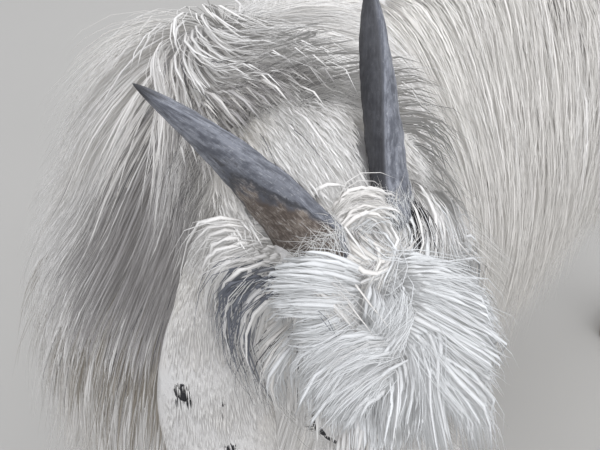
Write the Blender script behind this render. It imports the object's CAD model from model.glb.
"""A long-haired, lop-eared goat at life size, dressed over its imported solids.

Metres, +Z up. The goat faces -Y and its left side is +X. Its own sizes repeat those of the solids. Everything is
made in the goat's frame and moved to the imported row's frame as it becomes an object.
"""
import logging
import math
from dataclasses import dataclass, field
from enum import Enum
from typing import Callable, Iterator, Sequence

import bmesh
import bpy
import numpy as np
from mathutils import Matrix, Vector, noise
from mathutils.bvhtree import BVHTree
from mathutils.kdtree import KDTree


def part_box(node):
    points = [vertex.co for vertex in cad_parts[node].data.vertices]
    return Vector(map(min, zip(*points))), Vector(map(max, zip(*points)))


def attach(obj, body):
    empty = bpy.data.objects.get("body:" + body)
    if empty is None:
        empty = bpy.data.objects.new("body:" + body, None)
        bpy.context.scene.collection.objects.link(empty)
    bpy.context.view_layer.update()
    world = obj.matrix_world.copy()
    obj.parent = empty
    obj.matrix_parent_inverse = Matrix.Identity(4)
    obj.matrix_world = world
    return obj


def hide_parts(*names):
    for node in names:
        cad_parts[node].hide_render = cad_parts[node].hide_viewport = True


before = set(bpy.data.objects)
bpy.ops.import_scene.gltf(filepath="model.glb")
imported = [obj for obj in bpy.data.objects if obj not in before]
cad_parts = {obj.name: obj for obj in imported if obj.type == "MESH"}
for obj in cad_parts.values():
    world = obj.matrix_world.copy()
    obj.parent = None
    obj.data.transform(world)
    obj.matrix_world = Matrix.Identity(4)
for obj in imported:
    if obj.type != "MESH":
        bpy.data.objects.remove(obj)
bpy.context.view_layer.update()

LOG = logging.getLogger("goat")
SEED = 11
Array = np.ndarray
Colour = tuple[float, float, float]
Flow = Callable[[Vector], Vector]

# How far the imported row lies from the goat's own frame, read off one claw of the left forefoot
CLAW_LOW_X = 0.0815
CLAW_HIGH_Y = -0.19382


def frame_shift() -> Vector:
    """The move from the goat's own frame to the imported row's frame.

    Returns:
        The move, in metres.
    """
    low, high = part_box("claw_foreleg_left_outer")
    return Vector((low[0] - CLAW_LOW_X, high[1] - CLAW_HIGH_Y, 0.0))


SHIFT = frame_shift()


class Side(Enum):
    """The goat's two sides, as the sign of x."""

    LEFT = 1
    RIGHT = -1

    @property
    def word(self) -> str:
        """The side's word in the nodes' names."""
        return self.name.lower()

    def place(self, point: Sequence[float]) -> Vector:
        """The point, mirrored for the goat's right."""
        return Vector((point[0] * self.value, point[1], point[2]))


class Leg(Enum):
    """The two kinds of leg, by the names of their nodes."""

    FORE = "foreleg"
    HIND = "hindleg"


# Shader building


class Wire:
    """A node's output that can be reckoned with: each operator adds the Math node that it stands for."""

    def __init__(self, pen: "Pen", socket: bpy.types.NodeSocket) -> None:
        """Keeps the socket and the pen that adds nodes beside it."""
        self.pen = pen
        self.socket = socket

    def _math(self, operation: str, *values: "Wire | float") -> "Wire":
        """Adds one Math node.

        Args:
            operation: the node's operation.
            values: what goes into its sockets, in order.

        Returns:
            The node's result.
        """
        return self.pen.add("ShaderNodeMath", {"operation": operation}, dict(enumerate(values)))

    def __add__(self, other: "Wire | float") -> "Wire":
        """self + other"""
        return self._math("ADD", self, other)

    def __radd__(self, other: float) -> "Wire":
        """other + self"""
        return self._math("ADD", other, self)

    def __sub__(self, other: "Wire | float") -> "Wire":
        """self - other"""
        return self._math("SUBTRACT", self, other)

    def __rsub__(self, other: float) -> "Wire":
        """other - self"""
        return self._math("SUBTRACT", other, self)

    def __mul__(self, other: "Wire | float") -> "Wire":
        """self * other"""
        return self._math("MULTIPLY", self, other)

    def __rmul__(self, other: float) -> "Wire":
        """other * self"""
        return self._math("MULTIPLY", other, self)

    def __pow__(self, other: float) -> "Wire":
        """self ** other"""
        return self._math("POWER", self, other)

    def larger(self, other: "Wire | float") -> "Wire":
        """The larger of the two."""
        return self._math("MAXIMUM", self, other)

    def step(self, low: float, high: float) -> "Wire":
        """A smooth step.

        Args:
            low: where it leaves 0.
            high: where it reaches 1; below low, the step falls instead.

        Returns:
            A value from 0 to 1.
        """
        rising = high > low
        ends = {"From Min": min(low, high), "From Max": max(low, high), "To Min": 0.0 if rising else 1.0,
                "To Max": 1.0 if rising else 0.0}
        return self.pen.add("ShaderNodeMapRange", {"interpolation_type": "SMOOTHSTEP"}, {"Value": self, **ends})


class Pen:
    """Writes one material's nodes."""

    def __init__(self, name: str) -> None:
        """Starts a material of that name with a plain shader."""
        self.material = bpy.data.materials.new(name)
        self.material.use_nodes = True
        self.tree = self.material.node_tree
        self.shader = self.tree.nodes["Principled BSDF"]

    def add(self, kind: str, settings: dict | None = None, inputs: dict | None = None, output: int | str = 0) -> Wire:
        """Adds one node.

        Args:
            kind: the node's type.
            settings: its own settings, set before its sockets.
            inputs: a value or a Wire for each socket, by name or number.
            output: which of its outputs to hand back.

        Returns:
            That output.
        """
        node = self.tree.nodes.new(kind)
        for name, value in (settings or {}).items():
            setattr(node, name, value)
        for key, value in (inputs or {}).items():
            self.feed(node.inputs[key], value)
        return Wire(self, node.outputs[output])

    def feed(self, socket: bpy.types.NodeSocket, value: "Wire | float | Sequence[float]") -> None:
        """Links or sets one socket.

        Args:
            socket: the socket.
            value: a Wire to link, or a plain value; a colour may leave out its alpha.
        """
        if isinstance(value, Wire):
            self.tree.links.new(value.socket, socket)
        elif socket.type == "RGBA" and len(value) == 3:
            socket.default_value = (*value, 1.0)
        else:
            socket.default_value = value

    def mix(self, share: Wire | float, first: Wire | Colour, second: Wire | Colour) -> Wire:
        """Mixes two colours.

        Args:
            share: how much of the second.
            first: one colour.
            second: the other colour.

        Returns:
            The mixed colour.
        """
        return self.add("ShaderNodeMix", {"data_type": "RGBA"}, {0: share, 6: first, 7: second}, 2)

    def attribute(self, name: str) -> Wire:
        """The vector that the mesh carries under that name."""
        return self.add("ShaderNodeAttribute", {"attribute_name": name}, output="Vector")

    def parts(self, vector: Wire) -> tuple[Wire, Wire, Wire]:
        """Splits a vector.

        Args:
            vector: what to split.

        Returns:
            Its three parts.
        """
        node = self.add("ShaderNodeSeparateXYZ", None, {0: vector}).socket.node
        return tuple(Wire(self, socket) for socket in node.outputs)

    def vector(self, operation: str, first: Wire, second: Sequence[float] | Wire | None = None,
               output: str = "Vector") -> Wire:
        """Adds one Vector Math node.

        Args:
            operation: its operation.
            first: its first vector.
            second: its second vector, where it has one.
            output: which of its outputs to hand back.

        Returns:
            That output.
        """
        inputs = {0: first} if second is None else {0: first, 1: second}
        return self.add("ShaderNodeVectorMath", {"operation": operation}, inputs, output)

    def noise(self, place: Wire, scale: float, detail: float = 3.0, roughness: float = 0.55) -> Wire:
        """A soft noise.

        Args:
            place: where it is read.
            scale: how many waves to the metre.
            detail: its octaves.
            roughness: how strong the finer octaves are.

        Returns:
            A value from 0 to 1.
        """
        return self.add("ShaderNodeTexNoise", None,
                        {"Vector": place, "Scale": scale, "Detail": detail, "Roughness": roughness}, "Fac")

    def bump(self, height: Wire, strength: float, distance: float, facing: Wire | None = None) -> None:
        """Feeds the shader's normal from a height.

        Args:
            height: the height, from 0 to 1.
            strength: how much of it shows.
            distance: how high 1 is, in metres.
            facing: the way that the surface faces before the bump, where it isn't the mesh's own.
        """
        inputs = {"Strength": strength, "Distance": distance, "Height": height}
        if facing:
            inputs["Normal"] = facing
        self.feed(self.shader.inputs["Normal"], self.add("ShaderNodeBump", None, inputs, "Normal"))

    def shade(self, **inputs: "Wire | float | Colour") -> bpy.types.Material:
        """Feeds the shader's other sockets.

        Args:
            inputs: a value or a Wire for each socket, its name written with underscores.

        Returns:
            The finished material.
        """
        for name, value in inputs.items():
            self.feed(self.shader.inputs[name.replace("_", " ")], value)
        return self.material


# Finishes


@dataclass(frozen=True)
class Patch:
    """One soft-edged patch of the coat's markings."""

    centre: tuple[float, float, float]      # in the goat's frame
    radii: tuple[float, float, float]
    strength: float = 1.0
    edge: float = 0.45                      # how much of its radius the soft edge takes

    def mask(self, pen: Pen, place: Wire) -> Wire:
        """How much of the patch is at a place.

        Args:
            pen: the material's pen.
            place: the place, in the row's frame.

        Returns:
            A value from 0 to the patch's strength.
        """
        away = pen.vector("SUBTRACT", place, tuple(Vector(self.centre) + SHIFT))
        far = pen.vector("LENGTH", pen.vector("DIVIDE", away, self.radii), output="Value")
        return far.step(1.0, 1.0 - self.edge) * self.strength


@dataclass(frozen=True)
class Markings:
    """Where the coat turns grey, black, cream or brown. The skin and every tuft read the same patches."""

    white: Colour = (0.765, 0.755, 0.745)
    ivory: Colour = (0.735, 0.715, 0.685)
    cool: Colour = (0.745, 0.76, 0.775)
    umber: Colour = (0.30, 0.272, 0.235)
    slate: Colour = (0.16, 0.17, 0.20)
    cream: Colour = (0.78, 0.71, 0.60)
    grey: Colour = (0.355, 0.342, 0.342)
    charcoal: Colour = (0.085, 0.085, 0.098)
    black: Colour = (0.030, 0.030, 0.034)
    brown: Colour = (0.42, 0.30, 0.18)
    ivory_patches: tuple[Patch, ...] = (
        Patch((0.02, 0.16, 0.50), (0.34, 0.34, 0.34), 1.1, 0.25),
    )
    cool_patches: tuple[Patch, ...] = (
        Patch((0.225, -0.290, 0.610), (0.075, 0.075, 0.085), 1.2, 0.35),
    )
    cream_patches: tuple[Patch, ...] = (
        Patch((0.0, -0.20, 0.16), (0.40, 0.30, 0.26), 0.9, 0.5),
        Patch((0.0, 0.30, 0.16), (0.40, 0.35, 0.24), 0.9, 0.5),
        Patch((-0.090, -0.260, 0.400), (0.130, 0.160, 0.130), 0.55, 0.7),
    )
    brown_patches: tuple[Patch, ...] = (
        Patch((0.08, 0.02, 0.31), (0.16, 0.24, 0.075), 0.75, 0.6),
    )
    grey_patches: tuple[Patch, ...] = (
        Patch((0.070, -0.262, 0.675), (0.060, 0.050, 0.060), 0.80, 0.6),
        Patch((0.060, -0.300, 0.615), (0.090, 0.080, 0.090), 1.15, 0.6),
        Patch((0.174, -0.356, 0.616), (0.028, 0.026, 0.042), 0.85, 0.6),
        Patch((0.188, -0.300, 0.672), (0.026, 0.022, 0.018), 0.72, 0.6),
    )
    umber_patches: tuple[Patch, ...] = (
        Patch((0.035, -0.300, 0.535), (0.095, 0.100, 0.105), 0.90, 0.8),
        Patch((-0.070, -0.270, 0.535), (0.120, 0.120, 0.165), 0.58, 0.8),
    )
    slate_patches: tuple[Patch, ...] = (
        Patch((0.177, -0.346, 0.644), (0.022, 0.018, 0.022), 0.85, 0.6),
        Patch((0.172, -0.362, 0.616), (0.022, 0.022, 0.036), 0.60, 0.6),
        Patch((0.180, -0.290, 0.684), (0.018, 0.018, 0.014), 0.40, 0.6),
    )
    # only the few hairs of the lowest tones turn
    charcoal_patches: tuple[Patch, ...] = (
        Patch((0.085, -0.255, 0.675), (0.085, 0.065, 0.060), 0.20, 0.5),
        Patch((0.040, -0.300, 0.580), (0.110, 0.100, 0.150), 0.13, 0.6),
        Patch((0.180, -0.345, 0.610), (0.045, 0.050, 0.050), 0.16, 0.6),
    )
    black_patches: tuple[Patch, ...] = (
        Patch((0.2062, -0.2690, 0.6558), (0.0115, 0.0105, 0.0115), 0.75, 0.5),
        Patch((0.2010, -0.2700, 0.6690), (0.0130, 0.0110, 0.0110), 0.85, 0.5),
        Patch((0.1310, -0.3680, 0.5540), (0.0062, 0.0080, 0.0080), 1.8, 0.5),
        Patch((0.2110, -0.3450, 0.5590), (0.0060, 0.0060, 0.0034), 1.3, 0.5),
        Patch((0.2190, -0.3440, 0.5560), (0.0060, 0.0060, 0.0030), 1.2, 0.5),
        Patch((0.1510, -0.3600, 0.5480), (0.0035, 0.0060, 0.0040), 0.9, 0.6),
        Patch((0.1580, -0.3600, 0.5180), (0.0045, 0.0060, 0.0050), 0.9, 0.6),
    )

    @staticmethod
    def _total(pen: Pen, place: Wire, patches: Sequence[Patch]) -> Wire:
        """The strongest of several patches at a place.

        Args:
            pen: the material's pen.
            place: the place.
            patches: the patches.

        Returns:
            A value from 0 to 1.
        """
        masks = [patch.mask(pen, place) for patch in patches]
        total = masks[0]
        for mask in masks[1:]:
            total = total.larger(mask)
        return total

    def colour(self, pen: Pen, place: Wire, tone: Wire) -> Wire:
        """The coat's colour at a place.

        Args:
            pen: the material's pen.
            place: the root of the hair, or the place on the skin.
            tone: a value from 0 to 1 that says which hairs turn first.

        Returns:
            The colour.
        """
        wander = pen.noise(place, 22.0, 3.0)
        hue = pen.mix(wander.step(0.42, 0.75) * 0.25, self.white, self.cream)
        for patches, colour, soft in (
            (self.ivory_patches, self.ivory, 0.50),
            (self.cool_patches, self.cool, 0.50),
            (self.cream_patches, self.cream, 0.50),
            (self.brown_patches, self.brown, 0.30),
            (self.umber_patches, self.umber, 0.45),
            (self.grey_patches, self.grey, 0.45),
            (self.slate_patches, self.slate, 0.25),
            (self.charcoal_patches, self.charcoal, 0.03),
            (self.black_patches, self.black, 0.10),
        ):
            mask = self._total(pen, place, patches) * (1.0 + (wander - 0.5) * 0.8)
            hue = pen.mix((mask - tone * 0.95).step(0.0, soft), hue, colour)
        return hue


@dataclass(frozen=True)
class CoatFinish:
    """The hair: each tuft one tone, paler to its tip, with finer hairs drawn along it."""

    name: str = "hair"
    markings: Markings = field(default_factory=Markings)
    roughness: float = 0.60
    glow: float = 0.26                      # the light that white hair passes on from tuft to tuft
    smoothness: float = 4.0                 # how far the hair takes the light as the whole coat's surface does

    def make(self) -> bpy.types.Material:
        """Builds the material.

        Returns:
            The material.
        """
        pen = Pen(self.name)
        root = pen.attribute("root")
        across, along, tone = pen.parts(pen.attribute("strand"))
        colour = self.markings.colour(pen, root, tone)
        fibre = pen.add("ShaderNodeCombineXYZ", None, {0: across + tone * 90.0, 1: along * 1.6, 2: tone * 37.0})
        fine = pen.noise(fibre, 1.0, 2.0)
        dark = along.step(0.40, 0.0) * 0.30 + fine.step(0.60, 0.30) * 0.14 + tone.step(0.70, 1.0) * 0.05
        deep = pen.add("ShaderNodeMix", {"data_type": "RGBA", "blend_type": "MULTIPLY"},
                       {0: dark, 6: colour, 7: (0.55, 0.52, 0.49)}, 2)
        own = pen.add("ShaderNodeNewGeometry", output="Normal")
        lain = pen.vector("SCALE", pen.attribute("facing"), None)
        lain.socket.node.inputs["Scale"].default_value = self.smoothness
        pen.bump(fine, 0.20, 0.0003, pen.vector("NORMALIZE", pen.vector("ADD", lain, own)))
        return pen.shade(Base_Color=deep, Roughness=self.roughness + (fine - 0.5) * 0.2, Specular_IOR_Level=0.25,
                         Emission_Color=deep, Emission_Strength=self.glow)


@dataclass(frozen=True)
class SkinFinish:
    """The skin under the coat, with short fur that lies flat, bare on nose, lips and the rims of the lids."""

    name: str = "skin"
    markings: Markings = field(default_factory=Markings)
    bare: Colour = (0.42, 0.27, 0.24)
    rim: Colour = (0.045, 0.035, 0.032)
    shade: Colour = (0.56, 0.55, 0.555)

    def make(self) -> bpy.types.Material:
        """Builds the material.

        Returns:
            The material.
        """
        pen = Pen(self.name)
        place = pen.add("ShaderNodeNewGeometry", output="Position")
        lie = pen.attribute("lie")
        bare, rim, hollow = pen.parts(pen.attribute("bare"))
        under, _, _ = pen.parts(pen.attribute("under"))
        hairs = pen.noise(lie, 900.0, 3.0, 0.6)
        tufts = pen.noise(lie, 260.0, 2.0)
        tone = hairs.step(0.25, 0.75)
        fur = self.markings.colour(pen, place, tone)
        shade = hairs.step(0.65, 0.30) * 0.10 + tufts.step(0.60, 0.35) * 0.05
        fur = pen.add("ShaderNodeMix", {"data_type": "RGBA", "blend_type": "MULTIPLY"},
                      {0: shade, 6: fur, 7: (0.55, 0.51, 0.47)}, 2)
        fur = pen.mix(under * 0.62, fur, self.shade)
        pores = pen.noise(place, 1500.0, 3.0)
        skin = pen.mix(pores.step(0.35, 0.70), tuple(c * 0.75 for c in self.bare), self.bare)
        colour = pen.mix(bare, fur, skin)
        colour = pen.mix(rim, colour, self.rim)
        colour = pen.mix(hollow * 0.8, colour, (0.10, 0.055, 0.05))
        pen.bump(hairs * 0.6 + tufts * 0.3 + pores * 0.15, 0.5, 0.0009)
        return pen.shade(Base_Color=colour, Roughness=0.72 - bare * 0.30, Specular_IOR_Level=0.3)


@dataclass(frozen=True)
class HornFinish:
    """Horn: mottled slate with pale scratches, brown on its outer face, cracked along the keel, dark at the tip."""

    name: str = "horn"
    deep: Colour = (0.090, 0.096, 0.116)
    slate: Colour = (0.265, 0.278, 0.320)
    pale: Colour = (0.560, 0.570, 0.600)
    brown: Colour = (0.095, 0.072, 0.058)
    tan: Colour = (0.270, 0.225, 0.185)
    dark: Colour = (0.022, 0.021, 0.023)

    def make(self) -> bpy.types.Material:
        """Builds the material.

        Returns:
            The material.
        """
        pen = Pen(self.name)
        grain = pen.attribute("grain")              # round, round, and along
        outer, shaded, share = pen.parts(pen.attribute("face"))
        fibre = pen.noise(pen.vector("MULTIPLY", grain, (1.0, 1.0, 0.07)), 520.0, 4.0, 0.65)
        mottle = pen.noise(pen.vector("MULTIPLY", grain, (1.0, 1.0, 0.6)), 210.0, 5.0, 0.68)
        broad = pen.noise(pen.vector("MULTIPLY", grain, (1.0, 1.0, 0.35)), 75.0, 3.0)
        scratch = pen.noise(pen.vector("MULTIPLY", grain, (1.0, 1.0, 0.16)), 1500.0, 3.0, 0.7)
        cross = pen.noise(pen.vector("MULTIPLY", grain, (0.35, 0.35, 1.0)), 800.0, 3.0, 0.6)
        worn = (scratch.step(0.54, 0.66) * 0.8).larger(cross.step(0.60, 0.70) * 0.6) * mottle.step(0.38, 0.60)
        colour = pen.mix((mottle * 0.65 + fibre * 0.35).step(0.38, 0.62), self.deep, self.slate)
        colour = pen.mix(broad.step(0.50, 0.32) * 0.45, colour, self.deep)
        rusty = pen.mix((mottle * 0.5 + scratch * 0.5).step(0.42, 0.60), self.brown, self.tan)
        edge = outer - 0.20 - share * 1.35 + (broad - 0.5) * 0.9 + (mottle - 0.5) * 0.4
        colour = pen.mix(edge.step(0.10, 0.28) * 0.92, colour, rusty)
        colour = pen.mix(worn * 0.60, colour, self.pale)
        crack = edge.step(0.02, 0.12) * edge.step(0.24, 0.14) * mottle.step(0.34, 0.52)
        colour = pen.mix(crack * 0.75, colour, self.dark)
        colour = pen.mix((shaded + (mottle - 0.5) * 0.9).step(0.05, 0.75) * 0.80, colour, self.dark)
        colour = pen.mix((share + (broad - 0.5) * 0.25).step(0.84, 0.98) * 0.85, colour, self.dark)
        pen.bump(fibre * 0.4 + mottle * 0.55 - worn * 0.25 - crack * 0.5, 0.6, 0.0014)
        return pen.shade(Base_Color=colour, Roughness=0.46 + fibre * 0.22, Specular_IOR_Level=0.4)


@dataclass(frozen=True)
class HoofFinish:
    """Hoof horn: brown-grey with growth bands and fine upright lines, dusty at the ground."""

    name: str = "hoof"
    horn: Colour = (0.125, 0.095, 0.075)
    pale: Colour = (0.30, 0.24, 0.18)

    def make(self) -> bpy.types.Material:
        """Builds the material.

        Returns:
            The material.
        """
        pen = Pen(self.name)
        place = pen.add("ShaderNodeNewGeometry", output="Position")
        lines = pen.noise(pen.vector("MULTIPLY", place, (1.0, 1.0, 0.08)), 1100.0, 3.0)
        bands = pen.noise(pen.vector("MULTIPLY", place, (0.10, 0.10, 1.0)), 260.0, 3.0)
        _, _, high = pen.parts(place)
        colour = pen.mix((lines * 0.5 + bands * 0.5).step(0.40, 0.62), tuple(c * 0.6 for c in self.horn), self.horn)
        colour = pen.mix((high + bands * 0.006).step(0.014, 0.002) * 0.7, colour, self.pale)
        pen.bump(lines * 0.4 + bands, 0.6, 0.0012)
        return pen.shade(Base_Color=colour, Roughness=0.48 + bands * 0.2)


@dataclass(frozen=True)
class EyeFinish:
    """The eyeball: amber iris with a level slot for a pupil, dark round its edge, wet all over."""

    name: str = "eye"
    amber: Colour = (0.30, 0.17, 0.05)
    dark: Colour = (0.012, 0.009, 0.007)
    white: Colour = (0.40, 0.30, 0.25)

    def make(self) -> bpy.types.Material:
        """Builds the material.

        Returns:
            The material.
        """
        pen = Pen(self.name)
        gaze = pen.attribute("gaze")                # outward, to the nose and upward shares of the radius
        out, nose, up = pen.parts(gaze)
        threads = pen.noise(pen.vector("MULTIPLY", gaze, (1.0, 5.0, 5.0)), 4.0, 4.0)
        iris = pen.mix(threads.step(0.35, 0.70), tuple(c * 0.35 for c in self.amber), self.amber)
        slot = ((nose * nose) * 4.5 + (up * up) * 60.0).step(1.15, 0.85)
        iris = pen.mix(slot, iris, self.dark)
        rim = out.step(0.72, 0.60)
        colour = pen.mix(out.step(0.66, 0.58), pen.mix(rim, iris, self.dark), self.white)
        pen.bump(threads, 0.1, 0.0002)
        return pen.shade(Base_Color=colour, Roughness=0.12 + threads * 0.05, Coat_Weight=1.0, Coat_Roughness=0.03)


@dataclass(frozen=True)
class FloorFinish:
    """A plain pale floor."""

    name: str = "floor"
    colour: Colour = (0.47, 0.46, 0.44)

    def make(self) -> bpy.types.Material:
        """Builds the material.

        Returns:
            The material.
        """
        pen = Pen(self.name)
        cloud = pen.noise(pen.add("ShaderNodeNewGeometry", output="Position"), 3.0, 4.0)
        colour = pen.mix(cloud, tuple(c * 0.96 for c in self.colour), self.colour)
        pen.bump(cloud, 0.05, 0.001)
        return pen.shade(Base_Color=colour, Roughness=0.85)


class Finishes:
    """Every finish, made once."""

    def __init__(self) -> None:
        """Builds the materials."""
        self.coat = CoatFinish().make()
        self.skin = SkinFinish().make()
        self.horn = HornFinish().make()
        self.hoof = HoofFinish().make()
        self.eye = EyeFinish().make()
        self.floor = FloorFinish().make()


# Mesh tools


def smooth_table(table: Sequence[Sequence[float]], rows: int) -> Array:
    """The table's columns at evenly numbered rows, along a smooth curve through its own rows.

    Args:
        table: the rows.
        rows: how many rows to give back.

    Returns:
        The rows.
    """
    table = np.array(table, float)
    out = []
    for step in np.linspace(0, len(table) - 1, rows):
        k = min(int(step), len(table) - 2)
        t = step - k
        p0, p1, p2, p3 = (table[min(max(k + d, 0), len(table) - 1)] for d in (-1, 0, 1, 2))
        out.append(0.5 * (2 * p1 + (p2 - p0) * t + (2 * p0 - 5 * p1 + 4 * p2 - p3) * t**2
                          + (3 * p1 - p0 - 3 * p2 + p3) * t**3))
    return np.array(out)


def bezier(points: Sequence[Vector], t: float) -> tuple[Vector, Vector]:
    """A point on a Bezier curve.

    Args:
        points: its four control points.
        t: the share of its length.

    Returns:
        The place and the direction there.
    """
    a, b, c, d = points
    s = 1 - t
    place = a * s**3 + b * 3 * s * s * t + c * 3 * s * t * t + d * t**3
    way = (b - a) * 3 * s * s + (c - b) * 6 * s * t + (d - c) * 3 * t * t
    return place, way.normalized()


def loft(rings: Sequence[Sequence[Vector]]) -> bmesh.types.BMesh:
    """A closed mesh through rings of equal count. A last ring of one point is a tip.

    Args:
        rings: the rings.

    Returns:
        The mesh.
    """
    bm = bmesh.new()
    rows = [[bm.verts.new(p) for p in ring] for ring in rings]
    count = len(rows[0])
    for a, b in zip(rows, rows[1:]):
        for i in range(count):
            j = (i + 1) % count
            bm.faces.new((a[i], a[j], b[0]) if len(b) == 1 else (a[i], a[j], b[j], b[i]))
    for row in (rows[0], rows[-1]):
        if len(row) > 2:
            bm.faces.new(row)
    bmesh.ops.recalc_face_normals(bm, faces=bm.faces)
    return bm


def ellipsoid(centre: Sequence[float], radii: Sequence[float], turn: Matrix | None = None, rings: int = 12,
              segments: int = 18) -> bmesh.types.BMesh:
    """A closed ellipsoid.

    Args:
        centre: its middle.
        radii: its half sizes.
        turn: its axes.
        rings: how many rings of faces.
        segments: how many faces round.

    Returns:
        The mesh.
    """
    bm = bmesh.new()
    bmesh.ops.create_uvsphere(bm, u_segments=segments, v_segments=rings, radius=1.0)
    bm.transform(Matrix.Translation(Vector(centre)) @ (turn or Matrix.Identity(3)).to_4x4()
                 @ Matrix.Diagonal((*radii, 1.0)))
    bmesh.ops.recalc_face_normals(bm, faces=bm.faces)
    return bm


def as_object(name: str, *meshes: bmesh.types.BMesh) -> bpy.types.Object:
    """One object of one or more meshes.

    Args:
        name: the object's name.
        meshes: its meshes, which are used up.

    Returns:
        The object.
    """
    whole = bpy.data.meshes.new(name)
    bm = bmesh.new()
    for part in meshes:
        part.to_mesh(whole)
        bm.from_mesh(whole)
        part.free()
    bm.to_mesh(whole)
    bm.free()
    obj = bpy.data.objects.new(name, whole)
    bpy.context.scene.collection.objects.link(obj)
    return obj


def settle(obj: bpy.types.Object) -> None:
    """Makes the object's modified mesh its own.

    Args:
        obj: the object.
    """
    bpy.context.view_layer.update()
    graph = bpy.context.evaluated_depsgraph_get()
    mesh = bpy.data.meshes.new_from_object(obj.evaluated_get(graph))
    obj.modifiers.clear()
    old, obj.data = obj.data, mesh
    bpy.data.meshes.remove(old)


def fuse(obj: bpy.types.Object, voxel: float, passes: int) -> None:
    """Turns overlapping forms into one smooth surface.

    Args:
        obj: the object.
        voxel: the size of the new faces.
        passes: how often it is smoothed.
    """
    remesh = obj.modifiers.new("even", "REMESH")
    remesh.mode = "VOXEL"
    remesh.voxel_size = voxel
    soften = obj.modifiers.new("soften", "SMOOTH")
    soften.factor = 0.5
    soften.iterations = passes
    settle(obj)


def carve(obj: bpy.types.Object, *tools: bmesh.types.BMesh) -> None:
    """Cuts closed forms out of an object.

    Args:
        obj: the object.
        tools: what is cut out.
    """
    for number, tool in enumerate(tools):
        cutter = as_object(f"cutter_{number}", tool)
        boolean = obj.modifiers.new("cut", "BOOLEAN")
        boolean.operation = "DIFFERENCE"
        boolean.solver = "MANIFOLD"
        boolean.object = cutter
        settle(obj)
        bpy.data.objects.remove(cutter)


def vertex_places(mesh: bpy.types.Mesh) -> Array:
    """Every vertex of a mesh.

    Args:
        mesh: the mesh.

    Returns:
        An array of places, one row a vertex.
    """
    flat = np.empty(len(mesh.vertices) * 3, np.float32)
    mesh.vertices.foreach_get("co", flat)
    return flat.reshape(-1, 3).astype(float)


def vertex_normals(mesh: bpy.types.Mesh) -> Array:
    """Every vertex normal of a mesh.

    Args:
        mesh: the mesh.

    Returns:
        An array of directions, one row a vertex.
    """
    flat = np.empty(len(mesh.vertices) * 3, np.float32)
    mesh.vertex_normals.foreach_get("vector", flat)
    return flat.reshape(-1, 3).astype(float)


def place_vertices(mesh: bpy.types.Mesh, places: Array) -> None:
    """Moves every vertex of a mesh.

    Args:
        mesh: the mesh.
        places: the new places, one row a vertex.
    """
    mesh.vertices.foreach_set("co", places.astype(np.float32).ravel())
    mesh.update()


def carry(mesh: bpy.types.Mesh, name: str, vectors: Array) -> None:
    """Gives a mesh a vector at every vertex for its material to read.

    Args:
        mesh: the mesh.
        name: the name that the material asks for.
        vectors: one row a vertex.
    """
    layer = mesh.attributes.new(name, "FLOAT_VECTOR", "POINT")
    layer.data.foreach_set("vector", np.ascontiguousarray(vectors, np.float32).ravel())


def unit(vectors: Array) -> Array:
    """Scales vectors to length one.

    Args:
        vectors: the vectors, along the last axis.

    Returns:
        The unit vectors.
    """
    return vectors / np.maximum(np.linalg.norm(vectors, axis=-1, keepdims=True), 1e-9)


def ramp(value: Array, low: float, high: float) -> Array:
    """A smooth step of an array.

    Args:
        value: the array.
        low: where the step leaves 0.
        high: where it reaches 1.

    Returns:
        Values from 0 to 1.
    """
    t = np.clip((value - low) / (high - low), 0, 1)
    return t * t * (3 - 2 * t)


def dress(obj: bpy.types.Object, finish: bpy.types.Material, slot: str, *nodes: str) -> None:
    """Moves a piece to the row's frame, gives it its finish and has it ride and stand for its nodes.

    Args:
        obj: the piece, still in the goat's frame.
        finish: its material.
        slot: the record's slot that it takes its finish from.
        nodes: the nodes that it stands for.
    """
    obj.data.transform(Matrix.Translation(SHIFT))
    obj.data.materials.clear()
    obj.data.materials.append(finish)
    obj.data.shade_smooth()
    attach(obj, "root")
    if nodes:
        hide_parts(*nodes)


# The body's forms


@dataclass
class Trunk:
    """The trunk, from brisket to buttocks."""

    # y, middle z, half width, up, down
    stations: tuple = (
        (-0.315, 0.440, 0.030, 0.040, 0.035), (-0.300, 0.445, 0.055, 0.070, 0.062), (-0.260, 0.460, 0.085, 0.115, 0.105),
        (-0.200, 0.480, 0.105, 0.148, 0.145), (-0.120, 0.480, 0.118, 0.145, 0.150), (-0.020, 0.475, 0.135, 0.140, 0.150),
        (0.080, 0.475, 0.142, 0.138, 0.148), (0.170, 0.482, 0.135, 0.132, 0.135), (0.250, 0.492, 0.120, 0.122, 0.115),
        (0.320, 0.500, 0.100, 0.108, 0.100), (0.375, 0.505, 0.070, 0.085, 0.085), (0.405, 0.505, 0.035, 0.050, 0.050),
    )
    sides: int = 48
    top_pinch: float = 0.30

    def form(self) -> bmesh.types.BMesh:
        """The trunk's form.

        Returns:
            The mesh.
        """
        rings = []
        for y, middle, half_width, up, down in smooth_table(self.stations, 60):
            turns = (2 * math.pi * i / self.sides for i in range(self.sides))
            rings.append([Vector((
                half_width * math.sin(a) * (1 - self.top_pinch * max(math.cos(a), 0.0) ** 2), y,
                middle + math.cos(a) * (up if math.cos(a) > 0 else down))) for a in turns])
        return loft(rings)


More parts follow.
